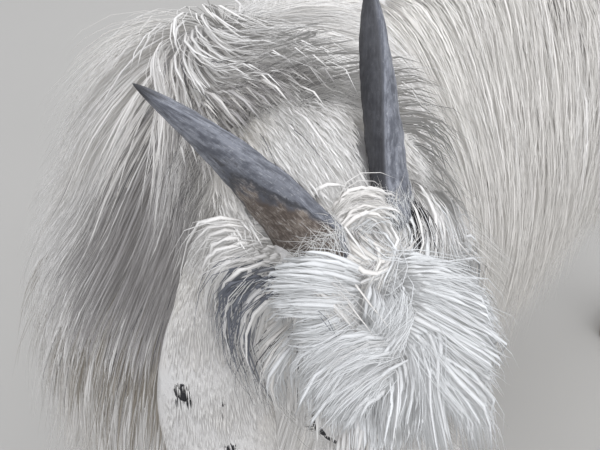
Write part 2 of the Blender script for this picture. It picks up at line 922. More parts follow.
@dataclass
class Head:
    """The head. Its own frame starts at the poll: x to the goat's left, y to the nose, z out of the forehead."""

    poll: Vector = field(default_factory=lambda: Vector((0.196, -0.300, 0.664)))
    turn: float = 85.6                      # degrees to the left of straight ahead
    drop: float = 59.9                      # degrees below level
    roll: float = 17.3                      # degrees, left side up
    # y, top, bottom, half width
    stations: tuple = (
        (-0.055, -0.030, -0.075, 0.022), (-0.040, -0.012, -0.092, 0.038), (-0.015, -0.002, -0.105, 0.047),
        (0.015, 0.003, -0.110, 0.050), (0.045, 0.005, -0.110, 0.051), (0.075, 0.002, -0.106, 0.050),
        (0.100, -0.005, -0.099, 0.045), (0.125, -0.014, -0.090, 0.036), (0.150, -0.022, -0.083, 0.029),
        (0.175, -0.030, -0.079, 0.026), (0.197, -0.038, -0.077, 0.0255), (0.210, -0.046, -0.073, 0.022),
        (0.218, -0.055, -0.067, 0.013),
    )
    jaw_pinch: float = 0.38
    voxel: float = 0.0017
    # middle swellings, then those that both sides have
    swellings: tuple = (
        ((0, 0.205, -0.048), (0.0150, 0.0130, 0.0130)), ((0, 0.186, -0.079), (0.0150, 0.0240, 0.0085)),
        ((0, 0.030, -0.010), (0.0350, 0.0600, 0.0190)),
    )
    paired: tuple = (
        ((0.0280, 0.0900, -0.0200), (0.0235, 0.0400, 0.0225)), ((0.0290, 0.0350, -0.0680), (0.0210, 0.0450, 0.0340)),
        ((0.0125, 0.2060, -0.0520), (0.0105, 0.0120, 0.0120)), ((0.0160, 0.1800, -0.0600), (0.0120, 0.0260, 0.0110)),
        ((0.0450, -0.0130, -0.0330), (0.0145, 0.0165, 0.0140)), ((0.0225, 0.0060, -0.0100), (0.0215, 0.0230, 0.0130)),
    )
    eye_centre: tuple = (0.0370, 0.1000, -0.0260)
    eye_radius: float = 0.0135
    lid: float = 0.0023
    gap: float = 0.0003
    slit: tuple = (0.0070, 0.0125, 0.0036)
    slit_drop: float = 0.0030
    slit_tilt: float = 14.0
    nostril: tuple = (0.0135, 0.2160, -0.0510)

    def __post_init__(self) -> None:
        """Works out the head's axes and its matrix."""
        turn, drop, roll = (math.radians(a) for a in (self.turn, self.drop, self.roll))
        nose = Vector((math.sin(turn) * math.cos(drop), -math.cos(turn) * math.cos(drop), -math.sin(drop)))
        level_left = Vector((math.cos(turn), math.sin(turn), 0.0))
        level_out = level_left.cross(nose) * -1
        left = level_left * math.cos(roll) + level_out * math.sin(roll)
        self.axes = Matrix((left, nose, nose.cross(left))).transposed()
        self.matrix = Matrix.Translation(self.poll) @ self.axes.to_4x4()

    def at(self, point: Sequence[float]) -> Vector:
        """A point of the head's frame in the goat's."""
        return self.matrix @ Vector(point)

    def inward(self, places: Array) -> Array:
        """Places of the goat's frame in the head's.

        Args:
            places: one row a place.

        Returns:
            The same places.
        """
        return (places - np.array(self.poll)) @ np.array(self.axes)

    def blob(self, centre: Sequence[float], radii: Sequence[float], turn: Matrix | None = None,
             fine: int = 1) -> bmesh.types.BMesh:
        """An ellipsoid of the head's frame.

        Args:
            centre: its middle.
            radii: its half sizes.
            turn: its axes in the head's frame.
            fine: how many times finer than usual its faces are.

        Returns:
            The mesh in the goat's frame.
        """
        return ellipsoid(self.at(centre), radii, self.axes @ turn if turn else self.axes, 12 * fine, 18 * fine)

    def ring(self, station: Sequence[float]) -> list[Vector]:
        """The outline across one station.

        Args:
            station: how far along, top, bottom and half width.

        Returns:
            Its points in the goat's frame.
        """
        y, top, bottom, half_width = station
        middle = (top + bottom) / 2
        points = []
        for i in range(56):
            across, high = math.sin(2 * math.pi * i / 56), math.cos(2 * math.pi * i / 56)
            narrow = 1 - self.jaw_pinch * max(-high, 0.0) ** 1.5
            fuller = math.copysign(abs(across) ** 0.85, across)
            points.append(self.at((half_width * fuller * narrow, y, middle + high * (top - middle))))
        return points

    def form(self) -> bpy.types.Object:
        """The head with lids, nostrils, lips and folds.

        Returns:
            The object, in the goat's frame.
        """
        forms = [loft([self.ring(s) for s in smooth_table(self.stations, 60)])]
        forms += [self.blob(*swelling) for swelling in self.swellings]
        for side in Side:
            forms += [self.blob(side.place(centre), radii) for centre, radii in self.paired]
            forms.append(self.blob(side.place(self.eye_centre), [self.eye_radius + self.gap + self.lid] * 3, None, 2))
        head = as_object("head_form", *forms)
        fuse(head, self.voxel, 6)
        self.sculpt(head.data)
        tools = []
        for side in Side:
            tools.append(self.blob(side.place(self.eye_centre), [self.eye_radius + self.gap] * 3, None, 3))
            x, y, z = self.eye_centre
            slit = side.place((x + self.eye_radius, y, z - self.slit_drop))
            tools.append(self.blob(slit, self.slit, Matrix.Rotation(-math.radians(self.slit_tilt), 3, "X"), 2))
        carve(head, *tools)
        return head

    def sculpt(self, mesh: bpy.types.Mesh) -> None:
        """Presses the mouth, the nostrils and the folds round the lids into the head.

        Args:
            mesh: the head's mesh.
        """
        places, normals = vertex_places(mesh), vertex_normals(mesh)
        inner = self.inward(places)
        x, y, z = np.abs(inner[:, 0]), inner[:, 1], inner[:, 2]
        mouth_z = -0.0640 - 0.0030 * ramp(y, 0.215, 0.165)
        mouth = np.exp(-((z - mouth_z) / 0.0011) ** 2) * ramp(y, 0.160, 0.175)
        lips = np.exp(-((z - mouth_z) / 0.0042) ** 2) * ramp(y, 0.160, 0.180)
        nx, ny, nz = self.nostril
        bend = (z - nz) - 0.35 * (x - nx)
        pit = np.exp(-(((x - nx) / 0.0032) ** 2 + ((y - ny) / 0.0085) ** 2 + (bend / 0.0036) ** 2))
        wing = np.exp(-(((x - nx - 0.003) / 0.0070) ** 2 + ((y - ny) / 0.0100) ** 2 + ((z - nz - 0.002) / 0.0068) ** 2))
        cleft = np.exp(-(x / 0.0009) ** 2) * ramp(y, 0.200, 0.212) * ramp(z, -0.066, -0.060) * ramp(z, -0.040, -0.046)
        ex, ey, ez = self.eye_centre
        far = np.hypot(y - ey, (z - ez) * 1.15)
        above = ramp(z - ez, -0.010, 0.004) * ramp(x, 0.020, 0.030)
        fold = (np.exp(-((far - 0.0165) / 0.0011) ** 2) + 0.7 * np.exp(-((far - 0.0215) / 0.0013) ** 2)) * above
        below = ramp(z - ez, 0.004, -0.010) * ramp(x, 0.020, 0.030)
        bag = np.exp(-((far - 0.0180) / 0.0012) ** 2) * below
        tear = np.exp(-(((y - ey - 0.018) / 0.012) ** 2 + ((z - ez + 0.006 + 0.25 * (y - ey)) / 0.0016) ** 2))
        chew = 0.0006 * np.sin(z * 520 + y * 160) * np.exp(-(((y - 0.165) / 0.012) ** 2 + ((z + 0.062) / 0.010) ** 2))
        press = (0.0042 * mouth - 0.0012 * lips + 0.0085 * pit - 0.0022 * wing + 0.0014 * cleft + 0.0009 * fold
                 + 0.0008 * bag + 0.0012 * tear * ramp(x, 0.018, 0.026) + chew)
        place_vertices(mesh, places - normals * press[:, None])


@dataclass
class Neck:
    """The neck, a smooth curve from inside the chest to the back of the skull."""

    head: Head
    start: Vector = field(default_factory=lambda: Vector((0.0, -0.150, 0.500)))
    rise: Vector = field(default_factory=lambda: Vector((0.0, -0.090, 0.078)))
    end: tuple = (0.0, 0.000, -0.083)       # in the head's frame
    arrival: Vector = field(default_factory=lambda: Vector((0.094, -0.034, 0.007)))
    half_width: tuple = (0.064, 0.040)
    half_depth: tuple = (0.098, 0.048)

    def station(self, t: float) -> tuple[Vector, Vector, Vector, Vector, float, float]:
        """The neck at a share of its length.

        Args:
            t: the share.

        Returns:
            Its middle, its direction, sideways and up, and its half width and half depth.
        """
        end = self.head.at(self.end)
        place, way = bezier((self.start, self.start + self.rise, end - self.arrival, end), t)
        up = (Vector((0, 0, 1)) - way * way.z).normalized()
        side = up.cross(way).normalized() * -1
        width, depth = (a + (b - a) * t for a, b in (self.half_width, self.half_depth))
        return place, way, side, up, width, depth

    def form(self) -> bmesh.types.BMesh:
        """The neck's form.

        Returns:
            The mesh.
        """
        rings = []
        for t in np.linspace(0, 1.12, 34):
            place, way, side, up, width, depth = self.station(min(float(t), 1.0))
            place = place + way * max(float(t) - 1, 0) * 0.2
            turns = (2 * math.pi * i / 40 for i in range(40))
            rings.append([place + side * math.sin(a) * width + up * math.cos(a) * depth for a in turns])
        return loft(rings)


@dataclass
class Limb:
    """One leg, with its hoof of two claws and its dewclaws."""

    kind: Leg
    side: Side
    # how far out, back and high, then half width and half depth
    fore: tuple = (
        (0.070, -0.200, 0.460, 0.030, 0.060), (0.074, -0.192, 0.400, 0.034, 0.055), (0.077, -0.190, 0.345, 0.029, 0.040),
        (0.079, -0.196, 0.280, 0.021, 0.027), (0.080, -0.203, 0.235, 0.0185, 0.021), (0.080, -0.205, 0.205, 0.0195, 0.021),
        (0.080, -0.203, 0.170, 0.0145, 0.0155), (0.080, -0.202, 0.110, 0.0130, 0.0145), (0.080, -0.203, 0.078, 0.0160, 0.0185),
        (0.080, -0.210, 0.055, 0.0150, 0.0165), (0.080, -0.216, 0.034, 0.0205, 0.0225),
    )
    hind: tuple = (
        (0.060, 0.270, 0.530, 0.040, 0.085), (0.072, 0.255, 0.450, 0.046, 0.088), (0.080, 0.245, 0.380, 0.040, 0.070),
        (0.083, 0.270, 0.320, 0.029, 0.048), (0.084, 0.315, 0.265, 0.0195, 0.029), (0.084, 0.338, 0.235, 0.0185, 0.026),
        (0.084, 0.335, 0.200, 0.0165, 0.0200), (0.084, 0.325, 0.130, 0.0145, 0.0165), (0.084, 0.320, 0.080, 0.0165, 0.0195),
        (0.084, 0.312, 0.056, 0.0155, 0.0170), (0.084, 0.306, 0.034, 0.0205, 0.0225),
    )
    step: dict = field(default_factory=lambda: {Side.LEFT: 0.132, Side.RIGHT: -0.030})
    sides: int = 28
    hoof_height: float = 0.034
    hoof_length: float = 0.056
    cleft: float = 0.0030
    claw_width: float = 0.0215
    dewclaw: float = 0.0060
    # a claw's outline: away from the cleft, and forward of the heel
    outline: tuple = (
        (0.00, 0.00), (0.00, -0.62), (0.10, -0.92), (0.30, -1.00), (0.62, -0.82), (0.90, -0.50), (1.00, -0.22),
        (0.90, -0.03), (0.50, 0.03),
    )

    @property
    def name(self) -> str:
        """The leg's node."""
        return f"{self.kind.value}_{self.side.word}"

    def stations(self) -> list[tuple]:
        """The leg's stations on its own side, with a hind foot stepped forward or back.

        Returns:
            The rows.
        """
        rows = []
        for out, back, high, wide, deep in (self.fore if self.kind is Leg.FORE else self.hind):
            if self.kind is Leg.HIND:
                back += self.step[self.side] * min(max((0.46 - high) / 0.40, 0.0), 1.0)
            rows.append((out * self.side.value, back, high, wide, deep))
        return rows

    def at(self, high: float) -> tuple[float, ...]:
        """The leg's middle and half sizes at a height.

        Args:
            high: the height.

        Returns:
            Across, back, half width and half depth.
        """
        table = smooth_table(self.stations(), 60)[::-1]
        return tuple(float(np.interp(high, table[:, 2], table[:, c])) for c in (0, 1, 3, 4))

    def form(self) -> bmesh.types.BMesh:
        """The leg's form, with a tendon behind and soft knuckles.

        Returns:
            The mesh.
        """
        rings = []
        for out, back, high, wide, deep in smooth_table(self.stations(), 70):
            ring = []
            for i in range(self.sides):
                a = 2 * math.pi * i / self.sides
                lean = 1 - 0.10 * math.exp(-((high - 0.13) / 0.05) ** 2) * abs(math.sin(2 * a))
                ring.append(Vector((out + math.cos(a) * wide * lean, back + math.sin(a) * deep * lean, high)))
            rings.append(ring)
        return loft(rings)

    def claw(self, outer: bool) -> bpy.types.Object:
        """One of the two claws: flat underneath, straight along the cleft, banded by growth.

        Args:
            outer: whether it is the one away from the goat's middle.

        Returns:
            The object.
        """
        out, back, _, _, deep = self.stations()[-1]
        away = 1 if outer == (self.side is Side.LEFT) else -1
        heel = back + deep - 0.002
        closed = np.array(self.outline + self.outline[:2])
        curve = smooth_table(closed, 60)[:-6]
        rings = []
        rows = ((0.0, 0.985, 0.0), (0.0012, 1.0, 0.0), (0.006, 1.0, 0.001), (0.013, 0.962, 0.0018), (0.020, 0.925, 0.0023),
                (0.027, 0.882, 0.0027), (self.hoof_height - self.gap_above(), 0.84, 0.003))
        for k, (high, shrink, lean) in enumerate(smooth_table(rows, 25)):
            high = min(max(high, 0.0), self.hoof_height - self.gap_above())
            swell = 1 + 0.010 * math.sin(k * 1.9) * (1 if 2 < k < 23 else 0)
            rings.append([Vector((
                out + away * (self.cleft / 2 + max(x, 0.0) * self.claw_width * shrink * swell),
                heel - lean + min(y, 0.03) * self.hoof_length * shrink * swell, high)) for x, y in curve])
        return as_object(f"claw_{self.name}_{'outer' if outer else 'inner'}", loft(rings))

    @staticmethod
    def gap_above() -> float:
        """The gap between a claw and the leg."""
        return 0.0003

    def dewclaws(self) -> bpy.types.Object:
        """The two small claws behind the fetlock.

        Returns:
            The object.
        """
        out, back, high, _, deep = self.stations()[-3]
        forms = []
        for s in (-1, 1):
            rings = []
            for k in range(9):
                t = k / 9
                size = self.dewclaw * 0.92 * math.sqrt(max(1 - t**1.8, 0.0))
                middle = Vector((out + s * (0.0085 + 0.001 * t), back + deep - 0.0035 + 0.010 * t, high - 0.002 - 0.013 * t))
                turns = (2 * math.pi * i / 14 for i in range(14))
                rings.append([middle + Vector((math.cos(a) * size * 0.8, math.sin(a) * size * 0.7, math.sin(a) * size * 0.7))
                              for a in turns])
            rings.append([Vector((out + s * 0.0095, back + deep + 0.0065, high - 0.0155))])
            forms.append(loft(rings))
        return as_object(f"dewclaws_{self.name}", *forms)

    def build(self, finishes: Finishes) -> None:
        """Makes and dresses the hoof.

        Args:
            finishes: the materials.
        """
        for outer in (False, True):
            claw = self.claw(outer)
            dress(claw, finishes.hoof, "hoof", claw.name.replace(".001", ""))
        dress(self.dewclaws(), finishes.hoof, "hoof")


@dataclass
class Tail:
    """The short tail, raised at its root and hanging over."""

    path: tuple = ((0.0, 0.372, 0.560), (0.0, 0.412, 0.576), (0.004, 0.445, 0.558), (0.006, 0.460, 0.520), (0.006, 0.462, 0.478))
    half_width: tuple = (0.022, 0.019, 0.015, 0.011, 0.006)

    def form(self) -> bmesh.types.BMesh:
        """The tail's form.

        Returns:
            The mesh.
        """
        rows = smooth_table([(*p, w) for p, w in zip(self.path, self.half_width)], 26)
        rings = []
        for k, (x, y, z, wide) in enumerate(rows):
            way = Vector(rows[min(k + 1, 25)][:3]) - Vector(rows[max(k - 1, 0)][:3])
            side = way.cross(Vector((0, 0.3, 1))).normalized()
            up = side.cross(way.normalized())
            turns = (2 * math.pi * i / 18 for i in range(18))
            rings.append([Vector((x, y, z)) + side * math.cos(a) * wide + up * math.sin(a) * wide * 0.7 for a in turns])
        return loft(rings)


@dataclass
class Ear:
    """One drooping ear, cupped towards the head, thinner at its rim."""

    head: Head
    side: Side
    root: tuple = (0.050, -0.014, -0.034)
    length: float = 0.190
    half_width: float = 0.0365
    thickness: float = 0.0040
    facing: dict = field(default_factory=lambda: {Side.LEFT: 118.0, Side.RIGHT: 40.0})
    swing: dict = field(default_factory=lambda: {Side.LEFT: (0.012, 0.012, 0.0), Side.RIGHT: (0.018, -0.030, 0.0)})
    # share of length, share of half width, half angle of the cup in degrees
    profile: tuple = (
        (0.00, 0.42, 105.0), (0.14, 0.46, 90.0), (0.30, 0.48, 76.0), (0.46, 0.56, 64.0), (0.60, 0.78, 52.0),
        (0.74, 0.97, 44.0), (0.86, 0.96, 38.0), (0.95, 0.66, 34.0), (1.00, 0.20, 30.0),
    )
    across: int = 19
    rows: int = 64

    def frame_at(self, share: float) -> tuple[Vector, Vector, Vector]:
        """The ear at a share of its length.

        Args:
            share: the share.

        Returns:
            Its middle, sideways and outward.
        """
        root = self.head.at(self.side.place(self.root))
        angle = math.radians(self.facing[self.side])
        out = Vector((math.sin(angle), -math.cos(angle), 0.10)).normalized()
        leave = (self.head.axes @ self.side.place((1.0, -0.25, 0.0))).normalized()
        hang = Vector((0, 0, -1))
        curve = (root, root + leave * 0.022 + hang * 0.004, root + leave * 0.030 + hang * self.length * 0.40,
                 root + Vector(self.swing[self.side]) + hang * self.length * 0.99)
        place, way = bezier(curve, share)
        across = way.cross(out).normalized()
        return place, across, across.cross(way).normalized()

    def form(self) -> bmesh.types.BMesh:
        """The ear's form, with a soft ridge down its back and a rolled, slightly wavy rim.

        Returns:
            The mesh.
        """
        rings = []
        for share, wide, cup in smooth_table(self.profile, self.rows):
            place, across, out = self.frame_at(float(share))
            angle = math.radians(cup)
            radius = self.half_width * wide / angle
            outer, inner = [], []
            for k in range(self.across):
                s = 2 * k / (self.across - 1) - 1
                a = s * angle
                thick = self.thickness * (0.35 + 0.65 * (1 - s * s)) * (0.45 + 0.55 * min(wide * 2, 1.0))
                wave = 0.0012 * math.sin(share * 17 + s * 2.0) * abs(s) ** 3 + 0.0006 * math.sin(share * 31) * (1 - s * s)
                line = across * math.sin(a) * radius + out * ((math.cos(a) - 1) * radius + wave)
                normal = across * math.sin(a) + out * math.cos(a)
                outer.append(place + line + normal * thick / 2)
                inner.append(place + line - normal * thick / 2)
            rings.append(outer + inner[::-1])
        return loft(rings)

    def spot(self, share: float, s: float, outward: bool) -> tuple[Vector, Vector, Vector]:
        """A place on one face of the ear.

        Args:
            share: the share of its length.
            s: how far across, from -1 to 1.
            outward: whether it is on the back of the ear.

        Returns:
            The place, the surface's direction and the direction to the tip.
        """
        table = np.array(self.profile)
        wide, cup = (float(np.interp(share, table[:, 0], table[:, c])) for c in (1, 2))
        place, across, out = self.frame_at(share)
        ahead = self.frame_at(min(share + 0.02, 1.0))[0] - self.frame_at(max(share - 0.02, 0.0))[0]
        angle = math.radians(cup)
        radius = self.half_width * wide / angle
        normal = across * math.sin(s * angle) + out * math.cos(s * angle)
        thick = self.thickness * (0.35 + 0.65 * (1 - s * s)) * (0.45 + 0.55 * min(wide * 2, 1.0))
        sign = 1 if outward else -1
        line = across * math.sin(s * angle) * radius + out * (math.cos(s * angle) - 1) * radius
        return place + line + normal * thick / 2 * sign, normal * sign, ahead.normalized()


@dataclass
class Horn:
    """One horn: flattened, keeled, ridged across and along, and sharp at its tip."""

    head: Head
    side: Side
    root: tuple = (0.021, 0.014, -0.016)
    start: tuple = (0.024, 0.0, 0.0)
    reach: tuple = (0.027, -0.104, -0.006)
    bend: tuple = (0.019, -0.004, -0.026)
    flat: tuple = ((0.482, -0.756, -0.441), (-0.127, 0.018, -0.198))
    half_broad: float = 0.0208
    half_thin: float = 0.0105
    sides: int = 60
    rows: int = 170

    def place(self, t: float) -> Vector:
        """The horn's middle at a share of its length, below its root at a negative share."""
        root, start, reach, bend = (Vector(v) for v in (self.root, self.start, self.reach, self.bend))
        point = start.lerp(root, -t / 0.25) if t < 0 else start + reach * t + bend * t * t
        return self.head.at(self.side.place(point))

    def ring(self, t: float) -> tuple[Vector, Vector, Vector, Vector, float, float]:
        """The horn across one place.

        Args:
            t: the share of its length.

        Returns:
            Its middle, its direction, its broad and thin directions, and its half sizes along them.
        """
        place = self.place(t)
        way = (self.place(t + 0.02) - self.place(t - 0.02)).normalized()
        grown = max(t, 0)
        flat = self.head.axes @ self.side.place(Vector(self.flat[0]) + Vector(self.flat[1]) * grown)
        broad = (flat - way * flat.dot(way)).normalized()
        ridge = 1 + 0.035 * math.sin(8 * math.pi * t) * (1 - grown)
        half_broad = self.half_broad * (1 - grown**2.2) ** 0.75 * ridge
        return place, way, broad, way.cross(broad), half_broad, self.half_thin * (1 - grown**3) ** 0.75 * ridge

    def build(self, finishes: Finishes) -> None:
        """Makes and dresses the horn.

        Args:
            finishes: the materials.
        """
        rings, grain, face = [], [], []
        outward = self.head.axes @ self.side.place((1.0, 0.10, 0.25))
        for k in range(self.rows):
            t = -0.25 + 1.25 * k / self.rows
            place, way, broad, thin, half_broad, half_thin = self.ring(t)
            grown = max(t, 0)
            ring = []
            for i in range(self.sides):
                a = 2 * math.pi * i / self.sides
                keel = math.copysign(abs(math.sin(a)) ** 1.25, math.sin(a))
                point = place + broad * half_broad * math.cos(a) + thin * half_thin * keel
                axis = (point - place).normalized() if grown < 1 else way
                rough = noise.noise(Vector((math.cos(a) * 2.2, math.sin(a) * 2.2, t * 5.0 + 9 * self.side.value)))
                cross = noise.noise(Vector((math.cos(a) * 0.7, math.sin(a) * 0.7, t * 26.0)))
                ring.append(point + axis * (0.00085 * rough + 0.00055 * cross - 0.0004) * (1 - grown**4))
                grain.append((math.cos(a) * 0.013, math.sin(a) * 0.013, t * 0.12 + 0.4 * (self.side.value + 1)))
                facing = (broad * math.cos(a) / half_broad + thin * math.sin(a) / half_thin).normalized()
                inner = -facing.dot(outward) if self.side is Side.LEFT else -1.0
                outer = facing.dot(outward) if self.side is Side.RIGHT else -1.0
                face.append((outer, max(inner + 0.25, 0.0), grown))
            rings.append(ring)
        rings.append([self.place(1.0)])
        grain.append((0.0, 0.0, 0.12 + 0.4 * (self.side.value + 1)))
        face.append((0.0, 0.0, 1.0))
        name = f"horn_{self.side.word}"
        horn = as_object(f"{name}_fibrous", loft(rings))
        carry(horn.data, "grain", np.array(grain))
        carry(horn.data, "face", np.array(face))
        dress(horn, finishes.horn, "horn", name)


@dataclass
class Eye:
    """One eyeball with its cornea."""

    head: Head
    side: Side

    def build(self, finishes: Finishes) -> None:
        """Makes and dresses the eye.

        Args:
            finishes: the materials.
        """
        centre = self.head.at(self.side.place(self.head.eye_centre))
        radius = self.head.eye_radius - 0.0004
        ball = as_object(f"eyeball_{self.side.word}", ellipsoid(centre, [radius] * 3, self.head.axes, 40, 60))
        local = (vertex_places(ball.data) - np.array(centre)) @ np.array(self.head.axes) / radius
        local[:, 0] *= self.side.value
        place_vertices(ball.data, vertex_places(ball.data)
                       + np.array(self.head.axes.col[0]) * self.side.value * 0.0004 * ramp(local[:, 0], 0.72, 0.95)[:, None])
        carry(ball.data, "gaze", local)
        dress(ball, finishes.eye, "eye", f"eye_{self.side.word}")


class Goat:
    """All the body's forms, and the skin that covers them."""

    def __init__(self) -> None:
        """Sets the forms up."""
        self.trunk = Trunk()
        self.head = Head()
        self.neck = Neck(self.head)
        self.limbs = [Limb(kind, side) for kind in Leg for side in Side]
        self.tail = Tail()
        self.ears = [Ear(self.head, side) for side in Side]
        self.neck_line = [self.neck.station(t / 40) for t in range(41)]
        self.body_surface: BVHTree | None = None
        self.head_surface: BVHTree | None = None
        self.whole_surface: BVHTree | None = None
        self.body_mesh: tuple[Array, Array] = (np.empty(0), np.empty(0))
        self.head_mesh: tuple[Array, Array] = (np.empty(0), np.empty(0))
        self.whole_mesh: tuple[Array, Array] = (np.empty(0), np.empty(0))

    @staticmethod
    def triangles(mesh: bpy.types.Mesh) -> tuple[Array, Array]:
        """A mesh as plain arrays.

        Args:
            mesh: the mesh.

        Returns:
            Its places and its triangles.
        """
        mesh.calc_loop_triangles()
        corners = np.empty(len(mesh.loop_triangles) * 3, np.int32)
        mesh.loop_triangles.foreach_get("vertices", corners)
        return vertex_places(mesh), corners.reshape(-1, 3)

    def build_skin(self, finishes: Finishes) -> None:
        """Makes the one skin and dresses it.

        Args:
            finishes: the materials.
        """
        body = as_object("body_form", self.trunk.form(), self.neck.form(), self.tail.form(),
                         *(limb.form() for limb in self.limbs))
        fuse(body, 0.0042, 8)
        self.ripple(body.data)
        head = self.head.form()
        self.body_mesh, self.head_mesh = self.triangles(body.data), self.triangles(head.data)
        self.body_surface = BVHTree.FromPolygons(*(a.tolist() for a in self.body_mesh))
        self.head_surface = BVHTree.FromPolygons(*(a.tolist() for a in self.head_mesh))
        self.whole_mesh = (np.concatenate([self.body_mesh[0], self.head_mesh[0]]),
                           np.concatenate([self.body_mesh[1], self.head_mesh[1] + len(self.body_mesh[0])]))
        self.whole_surface = BVHTree.FromPolygons(*(a.tolist() for a in self.whole_mesh))
        parts = []
        for obj in (body, head):
            bm = bmesh.new()
            bm.from_mesh(obj.data)
            parts.append(bm)
            bpy.data.objects.remove(obj)
        skin = as_object("skin", *parts, *(ear.form() for ear in self.ears))
        places = vertex_places(skin.data)
        carry(skin.data, "lie", self.lie(places))
        carry(skin.data, "bare", self.bare(places))
        carry(skin.data, "under", self.under(places))
        nodes = ["head", "neck", "chest", "barrel", "rump", "tail", *(limb.name for limb in self.limbs),
                 *(f"ear_{ear.side.word}" for ear in self.ears)]
        dress(skin, finishes.skin, "coat", *nodes)
        LOG.info("skin: %d vertices", len(places))

    def ripple(self, mesh: bpy.types.Mesh) -> None:
        """Gives the body's skin its folds, at the throat and where the legs leave the trunk.

        Args:
            mesh: the body's mesh.
        """
        places, normals = vertex_places(mesh), vertex_normals(mesh)
        x, y, z = np.abs(places[:, 0]), places[:, 1], places[:, 2]
        elbow = np.exp(-(((x - 0.10) / 0.05) ** 2 + ((y + 0.13) / 0.035) ** 2 + ((z - 0.37) / 0.05) ** 2))
        flank = np.exp(-(((x - 0.11) / 0.05) ** 2 + ((y - 0.17) / 0.035) ** 2 + ((z - 0.39) / 0.05) ** 2))
        waves = 0.0016 * elbow * np.sin(y * 420 + z * 150) + 0.0016 * flank * np.sin(y * 400 - z * 160)
        crest = np.exp(-(((places[:, 0] - 0.02) / 0.07) ** 2 + ((y + 0.215) / 0.085) ** 2 + ((z - 0.665) / 0.06) ** 2))
        place_vertices(mesh, places + normals * (waves + 0.022 * crest)[:, None])

    def lie(self, places: Array) -> Array:
        """Where the short fur's noise is read, drawn out along the way that it lies.

        Args:
            places: the skin's vertices.

        Returns:
            One row a vertex.
        """
        inner = self.head.inward(places)
        near_head = ramp(-np.linalg.norm(inner * (1, 0.6, 1) - (0, 0.05, -0.05), axis=1), -0.13, -0.11)[:, None]
        on_head = inner * (1.0, 0.18, 1.0)
        elsewhere = places * (1.0, 1.0, 0.18)
        return np.where(near_head > 0.5, on_head, elsewhere)

    def bare(self, places: Array) -> Array:
        """How bare the skin is, how dark the rim of a lid is, and how deep a hollow is.

        Args:
            places: the skin's vertices.

        Returns:
            One row a vertex.
        """
        inner = self.head.inward(places)
        x, y, z = np.abs(inner[:, 0]), inner[:, 1], inner[:, 2]
        pad = ramp(y, 0.205, 0.213) * ramp(z, -0.064, -0.058) * ramp(-x, -0.018, -0.012) * ramp(-z, 0.034, 0.042)
        mouth_z = -0.0640 - 0.0030 * ramp(y, 0.215, 0.165)
        lips = np.exp(-((z - mouth_z) / 0.0022) ** 2) * ramp(y, 0.160, 0.172)
        nx, ny, nz = self.head.nostril
        pit = np.exp(-(((x - nx) / 0.0045) ** 2 + ((y - ny) / 0.0090) ** 2 + ((z - nz) / 0.0050) ** 2))
        ex, ey, ez = self.head.eye_centre
        tilt = math.radians(self.head.slit_tilt)
        dy, dz = y - ey, z - (ez - self.head.slit_drop)
        along = dy * math.cos(tilt) - dz * math.sin(tilt)
        over = dy * math.sin(tilt) + dz * math.cos(tilt)
        rim = ramp(-np.hypot(along / (self.head.slit[1] + 0.0018), over / (self.head.slit[2] + 0.0014)), -1.15, -0.85)
        rim *= ramp(x, ex + 0.006, ex + 0.009)
        on_head = (np.linalg.norm(inner - (0, 0.1, -0.05), axis=1) < 0.16).astype(float)
        return np.stack([np.clip(pad + lips + pit, 0, 1) * on_head, rim * on_head, np.clip(pit * 1.2, 0, 1) * on_head], axis=1)


    def under(self, places: Array) -> Array:
        """How deep the skin lies below long hair.

        Args:
            places: the skin's vertices.

        Returns:
            One row a vertex, the share in its first column.
        """
        inner = self.head.inward(places)
        off_head = 1 - ramp(inner[:, 1], -0.01, 0.01) * ramp(-np.linalg.norm(inner - (0, 0.08, -0.05), axis=1), -0.19, -0.17)
        deep = ramp(places[:, 2], 0.30, 0.38) * off_head
        for ear in self.ears:
            middle = ear.frame_at(0.6)[0]
            deep = deep * ramp(np.linalg.norm((places - np.array(middle)) * (1, 1, 0.45), axis=1), 0.045, 0.060)
        return np.stack([deep, deep, deep], axis=1)


# The coat


@dataclass
class Guides:
    """Curves that the hair follows, as arrays of places and outward directions."""

    points: Array                           # guide, step, 3
    outs: Array

    def nearest(self, roots: Array, count: int) -> tuple[Array, Array]:
        """The guides that each hair follows: its nearest ones, but none that parts from the nearest.

        Args:
            roots: where the hairs are rooted.
            count: how many guides each hair blends.

        Returns:
            Which guides, and how much of each, by hair.
        """
        tree = KDTree(len(self.points))
        for n, point in enumerate(self.points[:, 0]):
            tree.insert(point, n)
        tree.balance()
        found = [tree.find_n(root, count) for root in roots]
        picks = np.array([[hit[1] for hit in hits] for hits in found])
        apart = np.array([[hit[2] for hit in hits] for hits in found])
        runs = unit(self.points[:, -1] - self.points[:, 0])
        agree = np.einsum("hgi,hi->hg", runs[picks], runs[picks[:, 0]])
        shares = ramp(agree, 0.35, 0.75) / (apart + 0.003) ** 1.5
        return picks, shares / shares.sum(axis=1, keepdims=True)

    def sampled(self, picks: Array, weights: Array, shares: Array) -> tuple[Array, Array]:
        """Reads blended guides at shares of their lengths.

        Args:
            picks: which guides, by hair.
            weights: how much of each guide, by hair.
            shares: the shares of the length, by hair and step.

        Returns:
            Places from the root on and outward directions, by hair and step.
        """
        last = self.points.shape[1] - 1
        steps = np.clip(shares * last, 0, last - 1e-6)
        low = steps.astype(int)
        rest = (steps - low)[..., None]
        points, outs = 0.0, 0.0
        for k in range(picks.shape[1]):
            rows, share = picks[:, k, None], weights[:, k, None, None]
            place = self.points[rows, low] * (1 - rest) + self.points[rows, low + 1] * rest - self.points[picks[:, k], :1]
            points = points + place * share
            outs = outs + (self.outs[rows, low] * (1 - rest) + self.outs[rows, low + 1] * rest) * share
        return points, unit(outs)


